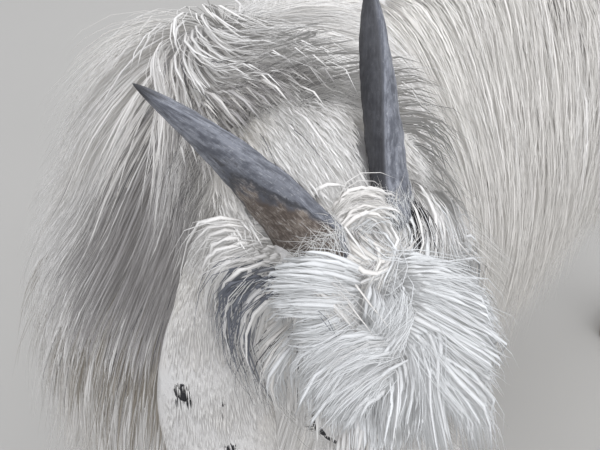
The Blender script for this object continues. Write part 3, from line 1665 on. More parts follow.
@dataclass
class Tufts:
    """How the hair of one piece is cut: its segments, width, gathering and raggedness."""

    segments: int = 5
    half_width: float = 0.00060
    thickness: float = 0.00050
    gather: float = 0.55                    # how far tips draw in to their guide
    ragged: float = 0.30                    # how much shorter a hair may be
    wander: float = 0.0022                  # how far a tip strays
    taper: float = 0.70
    layers: float = 0.30                    # how much lower than the guide a fine hair may lie
    pale: float = 0.0                       # how much paler than a long hair's its root is
    broad: float = 0.0                      # the share of flat broad tufts that fill in below the fine ones
    broad_half_width: float = 0.0013

    def mesh(self, name: str, curves: Array, outs: Array, tones: Array, roots_uv: Array, rng: np.random.Generator,
             broad: Array | bool = False) -> bpy.types.Object:
        """Builds every tuft of a piece as a closed, three-sided, tapered solid.

        Args:
            name: the piece's name.
            curves: places by tuft and step; the last is the tip.
            outs: outward directions by tuft and step.
            tones: each tuft's tone from 0 to 1.
            roots_uv: where each root lies on the unwrap of the skin.
            rng: the piece's own random draws.
            broad: which tufts are broad and flat.

        Returns:
            The object.
        """
        count, steps, _ = curves.shape
        broad = np.broadcast_to(broad, count)
        rings = steps - 1
        ways = unit(np.gradient(curves, axis=1))
        sides = unit(np.cross(ways, outs))
        spin = rng.uniform(-0.3, 0.3, (count, 1, 1))
        ups = np.cross(sides, ways)
        sides, ups = sides * np.cos(spin) + ups * np.sin(spin), ups * np.cos(spin) - sides * np.sin(spin)
        share = np.linspace(0, 1, steps)[None, :, None]
        size = rng.uniform(0.75, 1.25, (count, 1, 1)) * (0.20 + 0.80 * np.minimum(share * 4, 1)) * (1 - share**2.2) ** self.taper
        half_widths = np.where(broad, self.broad_half_width, self.half_width)
        wide, tall = sides * size * half_widths[:, None, None], ups * size * self.thickness
        ring = np.stack([curves - wide - tall * 0.4, curves + wide - tall * 0.4, curves + tall * 0.7], axis=2)[:, :rings]
        per = rings * 3 + 1
        verts = np.concatenate([ring.reshape(count, rings * 3, 3), curves[:, -1:, :]], axis=1).reshape(-1, 3)
        base = np.arange(rings - 1)[:, None, None] * 3
        i, j = np.arange(3), (np.arange(3) + 1) % 3
        quads = np.stack([i, j, j + 3, i + 3], axis=1)[None] + base
        quads = quads.reshape(-1, 4)
        tip = rings * 3
        ends = np.array([[2, 1, 0]] + [[tip - 3 + a, tip - 3 + b, tip] for a, b in zip(i, j)])
        starts = (np.arange(count) * per)[:, None]
        loops = np.concatenate([(quads.ravel()[None] + starts).reshape(count, -1),
                                (ends.ravel()[None] + starts).reshape(count, -1)], axis=1).ravel()
        sizes = np.tile(np.concatenate([np.full(len(quads), 4), np.full(len(ends), 3)]), count)
        mesh = bpy.data.meshes.new(name)
        mesh.vertices.add(len(verts))
        mesh.vertices.foreach_set("co", verts.astype(np.float32).ravel())
        mesh.loops.add(len(loops))
        mesh.loops.foreach_set("vertex_index", loops.astype(np.int32))
        mesh.polygons.add(len(sizes))
        mesh.polygons.foreach_set("loop_start", np.concatenate([[0], np.cumsum(sizes)[:-1]]).astype(np.int32))
        mesh.update(calc_edges=True)
        across = np.append(np.tile([0.0, 1.0, 0.5], rings), 0.5)
        along = np.append(np.repeat(np.linspace(self.pale, 1, steps)[:-1], 3), 1.0)
        hairs = np.repeat(half_widths / 0.00020, per)
        strand = np.stack([np.tile(across, count) * hairs, np.tile(along, count), np.repeat(tones, per)], axis=1)
        carry(mesh, "strand", strand)
        carry(mesh, "facing", np.concatenate([np.repeat(outs[:, :rings], 3, axis=1), outs[:, -1:]], axis=1).reshape(-1, 3))
        carry(mesh, "root", np.repeat(curves[:, 0] + np.array(SHIFT), per, axis=0))
        patch = np.stack([np.tile(across - 0.5, count), np.tile(along - 0.5, count)], axis=1) * 0.003
        places = np.repeat(roots_uv * 0.99 + 0.005, per, axis=0) + patch
        layer = mesh.uv_layers.new(name="OFBake")
        layer.data.foreach_set("uv", places[loops].astype(np.float32).ravel())
        obj = bpy.data.objects.new(name, mesh)
        bpy.context.scene.collection.objects.link(obj)
        return obj


def scatter(mesh: tuple[Array, Array], count: int, weight: Callable[[Array], Array], rng: np.random.Generator
            ) -> tuple[Array, Array]:
    """Strews roots over a surface.

    Args:
        mesh: the surface's places and triangles.
        count: how many roots.
        weight: how thick the hair is at each of an array of places.
        rng: the random draws.

    Returns:
        The roots and the surface's directions there.
    """
    places, corners = mesh
    a, b, c = (places[corners[:, k]] for k in range(3))
    cross = np.cross(b - a, c - a)
    share = np.linalg.norm(cross, axis=1) * weight((a + b + c) / 3)
    picks = rng.choice(len(corners), count, p=share / share.sum())
    u, v = rng.random((2, count))
    flip = u + v > 1
    u, v = np.where(flip, 1 - u, u), np.where(flip, 1 - v, v)
    roots = a[picks] + (b - a)[picks] * u[:, None] + (c - a)[picks] * v[:, None]
    return roots, unit(cross[picks])


# how the strands run over neck, shoulder and left flank, as places of the goat's frame in millimetres
STROKES = (
    ((20, -227, 661), (8, -250, 655), (-16, -268, 629), (-40, -262, 571), (-44, -272, 548), (-40, -290, 500), (-38, -300, 430)),
    ((35, -235, 666), (30, -262, 660), (20, -282, 640), (10, -290, 610), (0, -290, 563), (0, -295, 526), (4, -308, 482), (10, -315, 429)),
    ((31, -227, 664), (61, -253, 683), (79, -253, 681), (100, -257, 678), (143, -290, 696), (162, -299, 693), (178, -304, 684)),
    ((60, -225, 670), (79, -248, 682), (100, -250, 677), (145, -282, 697), (167, -291, 693), (182, -297, 685)),
    ((41, -252, 666), (66, -267, 679), (84, -270, 677), (103, -274, 674), (143, -303, 692), (161, -310, 687), (172, -315, 679)),
    ((77, -281, 670), (92, -284, 668), (122, -305, 681), (140, -315, 683), (160, -322, 676)),
    ((85, -235, 665), (108, -247, 674), (151, -275, 697), (172, -279, 693), (186, -284, 684)),
    ((3, -176, 632), (24, -164, 623), (45, -158, 608), (80, -170, 590)),
    ((19, -172, 627), (32, -141, 616), (54, -125, 599), (80, -120, 570)),
    ((75, -289, 651), (55, -290, 633), (32, -287, 594), (20, -290, 541), (22, -300, 490)),
    ((125, -318, 660), (96, -302, 628), (62, -290, 579), (46, -292, 521), (46, -298, 481), (46, -304, 422)),
    ((31, -32, 608), (62, -54, 591), (90, -72, 563), (115, -79, 524)),
    ((46, 45, 599), (86, 1, 570), (115, -29, 534), (131, -45, 484), (135, -55, 420)),
    ((73, 111, 582), (107, 62, 551), (130, 21, 514), (137, 4, 458), (137, -5, 400)),
    ((97, 162, 560), (126, 113, 525), (140, 79, 489), (142, 60, 420)),
)


class Coat:
    """All the hair: long on trunk and neck, locks on the head, short on face, ears and feet."""

    guide_steps = 12

    def __init__(self, goat: Goat, finishes: Finishes) -> None:
        """Keeps what the hair grows on and how it is dressed."""
        self.goat = goat
        self.finishes = finishes
        self.rng = np.random.default_rng(SEED)
        self.total = 0
        self.whorl = Vector((0.022, -0.205, 0.670))
        steps = [np.array(stroke) / 1000 for stroke in STROKES]
        self.stroke_places = np.concatenate([(line[1:] + line[:-1]) / 2 for line in steps])
        self.stroke_ways = unit(np.concatenate([line[1:] - line[:-1] for line in steps]))

    # Which way the hair falls

    def body_flow(self, place: Vector) -> Vector:
        """Which way the trunk's hair falls: outward from the spine and the whorl, then down and a little back.

        Args:
            place: where.

        Returns:
            The direction.
        """
        off = place.x + 0.010 * noise.noise(place * 16.0)
        spine = max(1 - abs(off) / 0.06, 0.0)
        ahead = min(max((0.30 - place.y) / 0.20, 0.0), 1.0) * (0.62 if off > 0 else 0.30)
        part = max(1 - abs(off) / 0.022, 0.0)
        way = Vector((min(max(off / 0.022, -1.0), 1.0) * 0.9 * spine, (0.15 - ahead) * (1 - part) + 0.45 * part, part * 0.8 - 1.0))
        away = Vector((place.x - self.whorl.x, place.y - self.whorl.y, 0.0))
        front = min(max((-0.06 - place.y) / 0.08, 0.0), 1.0)
        if away.length > 1e-4:
            high = min(max((place.z - 0.52) / 0.12, 0.0), 1.0)
            way += away.normalized() * 0.90 * high * front
        return way

    def neck_share(self, place: Vector) -> tuple[float, int]:
        """How much a place belongs to the neck.

        Args:
            place: where.

        Returns:
            A value from 0 to 1, and the nearest station of the neck.
        """
        k = min(range(41), key=lambda n: (self.goat.neck_line[n][0] - place).length_squared)
        return min(max((k / 40 - 0.22) / 0.20, 0.0), 1.0), k

    def flow(self, place: Vector) -> Vector:
        """Which way the hair falls on trunk and neck.

        Args:
            place: where.

        Returns:
            The direction.
        """
        way = self.body_flow(place).normalized()
        share, k = self.neck_share(place)
        if share > 0:
            middle, along, across, *_ = self.goat.neck_line[k]
            off = (place - middle).dot(across) + 0.008 * noise.noise(place * 18.0)
            top = max(1 - abs(off) / 0.05, 0.0)
            sideways = math.copysign(min(abs(off) / 0.05, 1.0) ** 1.6, off) * (0.5 + 0.5 * top)
            crest = max(1 - (off / 0.075) ** 2, 0.0)
            lean = across * sideways + along * crest * (1.3 - 0.5 * k / 40)
            way = way.lerp((lean + Vector((0, 0, 0.9 * crest - 1))).normalized(), share)
        near = np.exp(-(((self.stroke_places - np.array(place)) ** 2).sum(axis=1)) / 0.045**2)
        combed = Vector(near @ self.stroke_ways)
        if combed.length > 1e-3:
            way = way.normalized().lerp(combed.normalized(), min(float(near.sum()) / 0.35, 1.0))
        stray = noise.noise_vector(place * 8.0) * 0.14
        return way + Vector((stray.x, stray.y, stray.z * 0.3))

    def fullness(self, place: Vector) -> float:
        """How much farther the coat stands off here than on the barrel.

        Args:
            place: where.

        Returns:
            The factor.
        """
        whorl = math.exp(-((place - self.whorl).length / 0.090) ** 2)
        return 1 + 0.40 * min(max((-0.06 - place.y) / 0.10, 0.0), 1.0) + 0.45 * whorl

    # Growing

    def draped(self, surface: BVHTree, roots: Array, flow: Flow, lengths: Array, rises: Array) -> Guides:
        """Guides that follow a flow, are held off the surface below them and else hang free.

        Args:
            surface: what they lie on.
            roots: where they start.
            flow: which way hair falls at a place.
            lengths: each guide's length.
            rises: how far off the surface each guide's tip is held.

        Returns:
            The guides.
        """
        steps = self.guide_steps
        points, outs = np.empty((len(roots), steps + 1, 3)), np.empty((len(roots), steps + 1, 3))
        for n, root in enumerate(roots):
            place, normal, _, _ = surface.find_nearest(Vector(root))
            points[n, 0], outs[n, 0] = place - normal * 0.001, normal
            for k in range(1, steps + 1):
                way = flow(place)
                way.normalize()
                place = place + way * (lengths[n] / steps)
                near, faced, _, _ = surface.find_nearest(place)
                normal = normal.lerp(faced, 0.6).normalized()
                wanted = rises[n] * min(k / steps / 0.75, 1.0) ** 0.8
                short = wanted - (place - near).dot(faced)
                if short > 0:
                    place = place + normal * min(short, lengths[n] / steps)
                points[n, k], outs[n, k] = place, normal
        for _ in range(9):
            points[:, 1:-1] = points[:, 1:-1] * 0.5 + (points[:, :-2] + points[:, 2:]) * 0.25
            outs[:, 1:-1] = unit(outs[:, 1:-1] * 0.5 + (outs[:, :-2] + outs[:, 2:]) * 0.25)
        return Guides(points, outs)

    def grown(self, name: str, roots: Array, guides: Guides, tufts: Tufts, unwrap: Callable[[Array], Array],
              picks: Array | None = None) -> None:
        """Grows a tuft from each root along its nearest guide, and dresses the pieces.

        Args:
            name: the piece's name.
            roots: where the tufts are rooted.
            guides: the curves that they follow.
            tufts: how they are cut.
            unwrap: where a root lies on the unwrap of the skin.
            picks: which guide each follows, where it isn't the nearest.
        """
        rng = self.rng
        count, steps = len(roots), tufts.segments + 1
        if picks is None:
            picks, weights = guides.nearest(roots, 4)
        else:
            picks, weights = picks[:, None], np.ones((count, 1))
        broad = rng.random(count) < tufts.broad
        calm = np.where(broad, 0.45, 1.0)[:, None, None]
        reach = 1 - tufts.ragged * rng.random(count) ** 1.5
        shares = np.linspace(0, 1, steps)[None, :] * reach[:, None]
        points, outs = guides.sampled(picks, weights, shares)
        share = np.linspace(0, 1, steps)[None, :, None]
        off = np.einsum("hsi,hsi->hs", points, outs)[..., None]
        lift = np.where(broad, rng.uniform(0.60, 0.85, count), rng.uniform(1 - tufts.layers, 1.0, count))[:, None, None]
        points = points - outs * np.maximum(off, 0) * (1 - lift)
        clump = (guides.points[picks[:, 0], 0] - roots)[:, None, :] * tufts.gather * share**1.3
        sides = unit(np.cross(unit(np.gradient(points, axis=1)), outs))
        stray = rng.normal(0, 1, (2, count, 1, 1)) * tufts.wander * share**1.2 * calm
        curl = np.sin(share * rng.uniform(3, 8, (count, 1, 1)) + rng.uniform(0, 6.28, (count, 1, 1))) * tufts.wander * 0.6 * share
        curves = roots[:, None, :] + points + clump + sides * (stray[0] + curl * calm) + outs * np.abs(stray[1]) * 0.8
        tones = 0.25 * rng.random(len(guides.points))[picks[:, 0]] + 0.75 * rng.random(count)
        tones = np.where(broad, 0.25 + 0.75 * tones, tones)
        clear = self.off_horns(curves)
        roots, curves, outs, tones, broad = roots[clear], curves[clear], outs[clear], tones[clear], broad[clear]
        count = len(roots)
        pieces = max(math.ceil(count * (tufts.segments * 6 - 2) / 190000), 1)
        spots = np.clip(unwrap(roots), 0, 1)
        for number, rows in enumerate(np.array_split(np.argsort(spots[:, 1], kind="stable"), pieces)):
            label = name if pieces == 1 else f"{name}_{number + 1}"
            obj = tufts.mesh(label, curves[rows], outs[rows], tones[rows], spots[rows], rng, broad[rows])
            dress(obj, self.finishes.coat, "coat")
            made = len(rows) * (tufts.segments * 6 - 2)
            self.total += made
            LOG.info("%s: %d tufts, %d triangles", label, len(rows), made)

    def off_horns(self, curves: Array) -> Array:
        """Which tufts keep clear of both horns above their roots.

        Args:
            curves: places by tuft and step.

        Returns:
            True for those that do.
        """
        clear = np.ones(len(curves), bool)
        for side in Side:
            horn = Horn(self.goat.head, side)
            for t in np.arange(0.10, 1.0, 0.04):
                place, way, broad, thin, half_broad, half_thin = horn.ring(float(t))
                axes = np.array([broad.normalized() / (half_broad + 0.002), thin.normalized() / (half_thin + 0.002),
                                 way.normalized() / 0.0055])
                clear &= np.linalg.norm((curves - np.array(place)) @ axes.T, axis=2).min(axis=1) > 1.0
        return clear

    # Unwraps

    @staticmethod
    def trunk_unwrap(roots: Array) -> Array:
        """The trunk's skin cut along the belly and rolled flat.

        Args:
            roots: places on it.

        Returns:
            One row a root.
        """
        return np.stack([np.arctan2(roots[:, 0], roots[:, 2] - 0.48) / math.tau + 0.5, (roots[:, 1] + 0.36) / 0.86], axis=1)

    def head_unwrap(self, roots: Array) -> Array:
        """The head's skin cut along the throat and rolled flat.

        Args:
            roots: places on it.

        Returns:
            One row a root.
        """
        inner = self.goat.head.inward(roots)
        return np.stack([np.arctan2(inner[:, 0], inner[:, 2] + 0.05) / math.tau + 0.5, (inner[:, 1] + 0.12) / 0.36], axis=1)

    @staticmethod
    def upright_unwrap(roots: Array) -> Array:
        """The legs' skin cut along their insides and rolled flat, the four side by side.

        Args:
            roots: places on it.

        Returns:
            One row a root.
        """
        side, back = (roots[:, 0] > 0).astype(float), (roots[:, 1] > 0).astype(float)
        middle_y = np.where(back > 0, 0.31, -0.2)
        turn = np.arctan2(np.abs(roots[:, 0]) - 0.08, roots[:, 1] - middle_y) / math.tau + 0.5
        return np.stack([(turn + side * 2 + back) / 4, roots[:, 2] / 0.5], axis=1)

    # The pieces

    def build(self) -> None:
        """Grows every piece of the coat."""
        self.build_body()
        self.build_nape()
        self.build_legs()
        self.build_tail()
        self.build_forelock()
        self.build_head_hair()
        self.build_horn_roots()
        self.build_ears()
        self.build_lashes()
        LOG.info("coat: %d triangles", self.total)

    def body_weight(self, places: Array) -> Array:
        """How thick the long hair of trunk and neck is at places of the body.

        Args:
            places: where.

        Returns:
            The weights.
        """
        x, y, z = places.T
        legs = np.where(y < 0.05, 0.345, 0.365)
        keep = ramp(z, legs - 0.02, legs + 0.01) * ramp(-y, -0.412, -0.400)
        belly = np.where(z < 0.40, 0.45, 1.0)
        spine = 1 + 1.8 * np.exp(-((np.abs(x)) / 0.03) ** 2)
        inner = self.goat.head.inward(places)
        inside = (np.abs(inner[:, 0]) < 0.03) & (inner[:, 1] > -0.02) & (inner[:, 2] > -0.09)
        return keep * belly * spine * np.where(inside, 0, 1) * (1 - 0.85 * self.nape_weight(places))

    def body_cut(self, starts: Array, normals: Array) -> tuple[Array, Array]:
        """How long the trunk's hair is and how far it stands off, so that it ends at the photo's hem.

        Args:
            starts: the guides' roots.
            normals: the skin's directions there.

        Returns:
            The lengths and the rises.
        """
        lengths, rises = np.empty(len(starts)), np.empty(len(starts))
        for n, start in enumerate(starts):
            place = Vector(start)
            share, _ = self.neck_share(place)
            under = min(max((-normals[n, 2] - 0.25) / 0.5, 0.0), 1.0)
            breast = min(max(-place.x / 0.06, 0.0), 1.0) * min(max((-0.16 - place.y) / 0.06, 0.0), 1.0)
            fall = max(place.z - 0.278 - 0.075 * breast, 0.012)
            lengths[n] = min(0.150 - 0.025 * share, fall * 0.95 + 0.012 * breast) * (1 - 0.45 * under)
            rises[n] = min(0.014 + 0.022 * self.fullness(place), lengths[n] * 0.6) * (1 - 0.5 * under)
        return lengths * self.rng.uniform(0.94, 1.06, len(starts)), rises * self.rng.uniform(0.92, 1.0, len(starts))

    def outside(self, roots: Array, normals: Array) -> Array:
        """Which roots lie on the skin's outside rather than where one form runs into another.

        Args:
            roots: the roots.
            normals: the skin's directions there.

        Returns:
            True for those outside.
        """
        rays = self.goat.whole_surface.ray_cast
        return np.array([rays(Vector(r + n * 0.0015), Vector(n), 0.03)[0] is None for r, n in zip(roots, normals)])

    @staticmethod
    def nape_weight(places: Array) -> Array:
        """How thick the fine hair behind the horns is at places of the skin.

        Args:
            places: where.

        Returns:
            The weights.
        """
        apart = np.linalg.norm((places - (0.120, -0.278, 0.684)) / (0.088, 0.056, 0.042), axis=1)
        return ramp(-apart, -1.25, -0.60)

    def build_nape(self) -> None:
        """The fine grey hair that runs from the neck over the back of the head."""
        starts, normals = scatter(self.goat.whole_mesh, 1100, self.nape_weight, self.rng)
        starts = starts[self.outside(starts, normals)]
        near = ramp(starts[:, 0], 0.04, 0.16)
        lengths = (0.105 - 0.075 * near) * self.rng.uniform(0.9, 1.1, len(starts))
        rises = (0.038 - 0.031 * near) * self.rng.uniform(0.85, 1.0, len(starts))
        guides = self.draped(self.goat.whole_surface, starts, self.flow, lengths, rises)
        roots, normals = scatter(self.goat.whole_mesh, 8200, self.nape_weight, self.rng)
        roots = roots[self.outside(roots, normals)]
        tufts = Tufts(4, 0.00026, 0.00022, 0.12, 0.35, 0.0026, broad=0.40, broad_half_width=0.0011)
        self.grown("coat_nape", roots, guides, tufts, self.head_unwrap)

    def fore_weight(self, places: Array) -> Array:
        """How thick the hair is that belongs to breast, shoulders and neck.

        Args:
            places: where.

        Returns:
            The weights.
        """
        return self.body_weight(places) * ramp(-places[:, 1], -0.04, 0.04)

    def rear_weight(self, places: Array) -> Array:
        """How thick the hair is that belongs to flanks and rump.

        Args:
            places: where.

        Returns:
            The weights.
        """
        return self.body_weight(places) * (1 - ramp(-places[:, 1], -0.04, 0.04))

    def build_body(self) -> None:
        """The long hair of trunk and neck."""
        starts, normals = scatter(self.goat.body_mesh, 3600, self.body_weight, self.rng)
        clear = self.outside(starts, normals)
        starts, normals = starts[clear], normals[clear]
        lengths, rises = self.body_cut(starts, normals)
        guides = self.draped(self.goat.whole_surface, starts, self.flow, lengths, rises)
        for name, weight, segments, count in (("coat_fore", self.fore_weight, 5, 16000),
                                              ("coat_flanks", self.rear_weight, 4, 14500)):
            roots, _ = scatter(self.goat.body_mesh, count, weight, self.rng)
            tufts = Tufts(segments, 0.00029, 0.00025, 0.10, 0.30, 0.0026, broad=0.46, broad_half_width=0.0012)
            self.grown(name, roots, guides, tufts, self.trunk_unwrap)

    @staticmethod
    def upper_leg(places: Array) -> Array:
        """How thick the long hair of forearms and gaskins is at places of the body.

        Args:
            places: where.

        Returns:
            The weights.
        """
        y, z = places[:, 1], places[:, 2]
        top = np.where(y < 0.05, 0.36, 0.38)
        return ramp(z, 0.225, 0.26) * ramp(-z, -top, 0.015 - top) * (np.abs(places[:, 0]) < 0.14) * (y < 0.42)

    @staticmethod
    def lower_leg(places: Array) -> Array:
        """How thick the short hair of knees, hocks and shanks is at places of the body.

        Args:
            places: where.

        Returns:
            The weights.
        """
        return ramp(places[:, 2], 0.036, 0.040) * ramp(-places[:, 2], -0.255, -0.235)

    @staticmethod
    def down(place: Vector) -> Vector:
        """Which way a leg's hair falls.

        Args:
            place: where.

        Returns:
            The direction.
        """
        stray = noise.noise_vector(place * 14.0) * 0.25
        return Vector((stray.x, stray.y + 0.10, -1.0))

    def build_legs(self) -> None:
        """The legs' hair, long on the forearms and gaskins and short below."""
        for name, weight, count, length, rise, tufts in (
            ("coat_forearms", self.upper_leg, 2600, 0.062, 0.012,
             Tufts(4, 0.00050, 0.0004, 0.45, 0.35, 0.0018, broad=0.3, broad_half_width=0.0014)),
            ("coat_shanks", self.lower_leg, 4200, 0.017, 0.0022, Tufts(2, 0.00052, 0.0004, 0.30, 0.35, 0.0006)),
        ):
            roots, _ = scatter(self.goat.body_mesh, count, weight, self.rng)
            starts, _ = scatter(self.goat.body_mesh, count // 9, weight, self.rng)
            lengths = length * self.rng.uniform(0.8, 1.15, len(starts))
            rises = rise * self.rng.uniform(0.5, 1.1, len(starts))
            guides = self.draped(self.goat.body_surface, starts, self.down, lengths, rises)
            self.grown(name, roots, guides, tufts, self.upright_unwrap)

    @staticmethod
    def tail_weight(places: Array) -> Array:
        """How thick the tail's hair is at places of the body.

        Args:
            places: where.

        Returns:
            The weights.
        """
        return ramp(places[:, 1], 0.392, 0.402) * (places[:, 2] > 0.46)

    @staticmethod
    def tail_fall(place: Vector) -> Vector:
        """Which way the tail's hair falls.

        Args:
            place: where.

        Returns:
            The direction.
        """
        return Vector(((place.x - 0.004) / 0.06, 0.35 if place.z > 0.53 else 0.10, -0.8))

    def build_tail(self) -> None:
        """The tail's brush."""
        roots, _ = scatter(self.goat.body_mesh, 1300, self.tail_weight, self.rng)
        starts, _ = scatter(self.goat.body_mesh, 150, self.tail_weight, self.rng)
        guides = self.draped(self.goat.body_surface, starts, self.tail_fall, 0.075 * self.rng.uniform(0.7, 1.1, len(starts)),
                             0.012 * self.rng.uniform(0.4, 1.2, len(starts)))
        self.grown("coat_tail", roots, guides, Tufts(4, 0.00045, 0.00036, 0.3, 0.3, 0.002, broad=0.25), self.trunk_unwrap)

    def build_forelock(self) -> None:
        """The forelock's named locks, each a bundle along its own curve."""
        head = self.goat.head
        points, outs, roots, picks = [], [], [], []
        for lock in HEAD_LOCKS:
            for twin in lock.twins():
                curve = smooth_table([head.at(p) for p in twin], self.guide_steps + 1)
                near = [self.goat.head_surface.find_nearest(Vector(p)) for p in curve]
                out = [(Vector(p) - n[0]).normalized() if (Vector(p) - n[0]).length > 0.004 else n[1]
                       for p, n in zip(curve, near)]
                index = len(points)
                curve[0] = near[0][0] - near[0][1] * 0.002
                points.append(curve)
                outs.append([tuple(o) for o in out])
                side = unit(np.cross(curve[1] - curve[0], np.array(out[0])))
                ahead = unit(curve[2] - curve[0])
                spread = self.rng.normal(0, 0.5, (lock.hairs, 3)) * lock.radius
                for a, b, c in spread:
                    roots.append(curve[0] + side * a + ahead * b + np.array(out[0]) * c * 0.5)
                    picks.append(index)
        guides = Guides(np.array(points), np.array(outs))
        tufts = Tufts(5, 0.00027, 0.00023, 0.16, 0.30, 0.0038, broad=0.50, broad_half_width=0.0014)
        self.grown("coat_locks", np.array(roots), guides, tufts, self.head_unwrap, np.array(picks))

    def toward_nose(self, place: Vector) -> Vector:
        """Which way the head's short hair lies.

        Args:
            place: where.

        Returns:
            The direction.
        """
        x, _, z = self.goat.head.inward(np.array([place]))[0]
        back = max(-z - 0.045, 0.0) * 14
        return self.goat.head.axes @ Vector((math.copysign(0.35, x) * min(abs(x) / 0.02, 1), 1.0 - back, -0.25 - back * 0.3))

    def crown_weight(self, places: Array) -> Array:
        """How thick the hair of crown, cheeks and nape is at places of the head.

        Args:
            places: where.

        Returns:
            The weights.
        """
        x, y, z = self.goat.head.inward(places).T
        ex, ey, ez = self.goat.head.eye_centre
        eyes = ramp(np.sqrt((np.abs(x) - ex) ** 2 + (y - ey + 0.008) ** 2 + (z - ez) ** 2), 0.019, 0.030)
        return ramp(-y, -0.135, -0.09) * np.where(z < -0.085, 0.6, 1.0) * eyes * (1 - self.nape_weight(places))

    def face_weight(self, places: Array) -> Array:
        """How thick the face's short hair is at places of the head; nose pad, lips and lids are bare.

        Args:
            places: where.

        Returns:
            The weights.
        """
        head = self.goat.head
        x, y, z = head.inward(places).T
        _, ey, ez = head.eye_centre
        lidded = (np.hypot(y - ey, z - ez) < 0.0125) & (np.abs(x) > 0.036)
        pad = (y > 0.206) & (z > -0.066) & (np.abs(x) < 0.017)
        lips = (np.abs(z + 0.0655) < 0.0024) & (y > 0.165)
        return ramp(y, 0.075, 0.10) * np.where(lidded | pad | lips, 0, 1)

    def build_head_hair(self) -> None:
        """The short hair of face, cheeks and nape."""
        for name, weight, count, length, rise, tufts in (
            ("coat_crown", self.crown_weight, 4600, 0.030, 0.005, Tufts(3, 0.00036, 0.00030, 0.2, 0.35, 0.0016, broad=0.3)),
            ("coat_face", self.face_weight, 6500, 0.0085, 0.0011, Tufts(2, 0.00036, 0.00028, 0.25, 0.35, 0.0004, pale=0.35)),
        ):
            roots, _ = scatter(self.goat.head_mesh, count, weight, self.rng)
            starts, _ = scatter(self.goat.head_mesh, count // 8, weight, self.rng)
            lengths = length * self.rng.uniform(0.85, 1.10, len(starts))
            rises = rise * self.rng.uniform(0.7, 1.1, len(starts))
            guides = self.draped(self.goat.head_surface, starts, self.toward_nose, lengths, rises)
            self.grown(name, roots, guides, tufts, self.head_unwrap)

    def build_horn_roots(self) -> None:
        """The fine hair that grows round each horn's root and lies up along it."""
        for side in Side:
            horn, points, outs = Horn(self.goat.head, side), [], []
            for _ in range(460):
                a = float(self.rng.uniform(0, math.tau))
                t, length = float(self.rng.uniform(-0.10, 0.02)), float(self.rng.uniform(0.04, 0.15))
                swerve, lift = float(self.rng.normal(0, 0.8)), float(self.rng.uniform(0.0003, 0.0018))
                curve, out = [], []
                for s in np.linspace(0, 1, 5):
                    place, _, broad, thin, half_broad, half_thin = horn.ring(t + length * float(s))
                    turn = a + swerve * float(s) ** 1.5
                    away = (broad * math.cos(turn) / half_broad + thin * math.sin(turn) / half_thin).normalized()
                    curve.append(place + broad * half_broad * math.cos(turn) + thin * half_thin * math.sin(turn)
                                 + away * (lift * float(s) ** 0.8 - 0.0006))
                    out.append(away)
                points.append(curve)
                outs.append(out)
            points = np.array(points)
            tufts = Tufts(4, 0.00015, 0.00014)
            obj = tufts.mesh(f"coat_horn_root_{side.word}", points, np.array(outs), 0.3 + 0.7 * self.rng.random(len(points)),
                             np.clip(self.head_unwrap(points[:, 0]), 0, 1), self.rng)
            dress(obj, self.finishes.coat, "coat")
            self.total += len(points) * 22

    def build_ears(self) -> None:
        """The ears' short hair, back and front, lying to the tip."""
        for ear in self.goat.ears:
            points, outs, spots = [], [], []
            table = np.array(ear.profile)
            widest = table[:, 1].max()
            while len(points) < 4600:
                share, s = float(self.rng.random()), float(self.rng.uniform(-1, 1))
                if self.rng.random() > np.interp(share, table[:, 0], table[:, 1]) / widest:
                    continue
                outward = bool(self.rng.random() < 0.62)
                place, normal, ahead = ear.spot(share * 0.985, s, outward)
                length = 0.0115 * float(self.rng.uniform(0.6, 1.2))
                lift = 0.0010 * float(self.rng.uniform(0.5, 1.6))
                steps = np.linspace(0, 1, 3)[:, None]
                points.append(np.array(place - normal * 0.0005) + steps * length * np.array(ahead)
                              + steps**0.7 * (lift + 0.0005) * np.array(normal))
                outs.append(np.tile(np.array(normal), (3, 1)))
                spots.append((share, s, outward))
            spots = np.array(spots, float)
            uv = np.stack([(spots[:, 1] + 1) / 4 + 0.5 * spots[:, 2], spots[:, 0]], axis=1) * 0.98 + 0.01
            tufts = Tufts(2, 0.00042, 0.00032, pale=0.38)
            obj = tufts.mesh(f"coat_ear_{ear.side.word}", np.array(points), np.array(outs), 0.2 + 0.5 * self.rng.random(len(points)),
                             uv, self.rng)
            dress(obj, self.finishes.coat, "coat")
            self.total += len(points) * 10

    def build_lashes(self) -> None:
        """The pale lashes of both eyes."""
        head = self.goat.head
        ex, ey, ez = head.eye_centre
        tilt = math.radians(head.slit_tilt)
        for side in Side:
            points = []
            for n in range(64):
                a = math.tau * n / 64 + 0.05 * math.sin(n * 7.0)
                upper = math.sin(a) > 0
                along, over = math.cos(a) * (head.slit[1] + 0.0004), math.sin(a) * (head.slit[2] + 0.0005)
                y = ey + along * math.cos(tilt) + over * math.sin(tilt)
                z = ez - head.slit_drop - along * math.sin(tilt) + over * math.cos(tilt)
                away = math.sqrt(max((head.eye_radius + 0.0022) ** 2 - (y - ey) ** 2 - (z - ez) ** 2, 1e-8))
                length = 0.0085 if upper else 0.0050
                curve = [(ex + away - 0.0012 + t * length * 0.75, y + math.cos(a) * t * length * 0.5,
                          z + math.sin(a) * 0.0004 - (t * length * (0.75 if upper else 0.5))) for t in np.linspace(0, 1, 5)]
                points.append([head.at(side.place(p)) for p in curve])
            points = np.array(points)
            outs = np.tile(np.array(head.axes.col[0]) * side.value, (64, 5, 1))
            tufts = Tufts(4, 0.00022, 0.00018)
            uv = np.stack([np.linspace(0.02, 0.98, 64), np.full(64, 0.5)], axis=1)
            obj = tufts.mesh(f"lashes_{side.word}", points, outs, np.full(64, 0.5), uv, self.rng)
            dress(obj, self.finishes.coat, "coat")
            self.total += 64 * 22


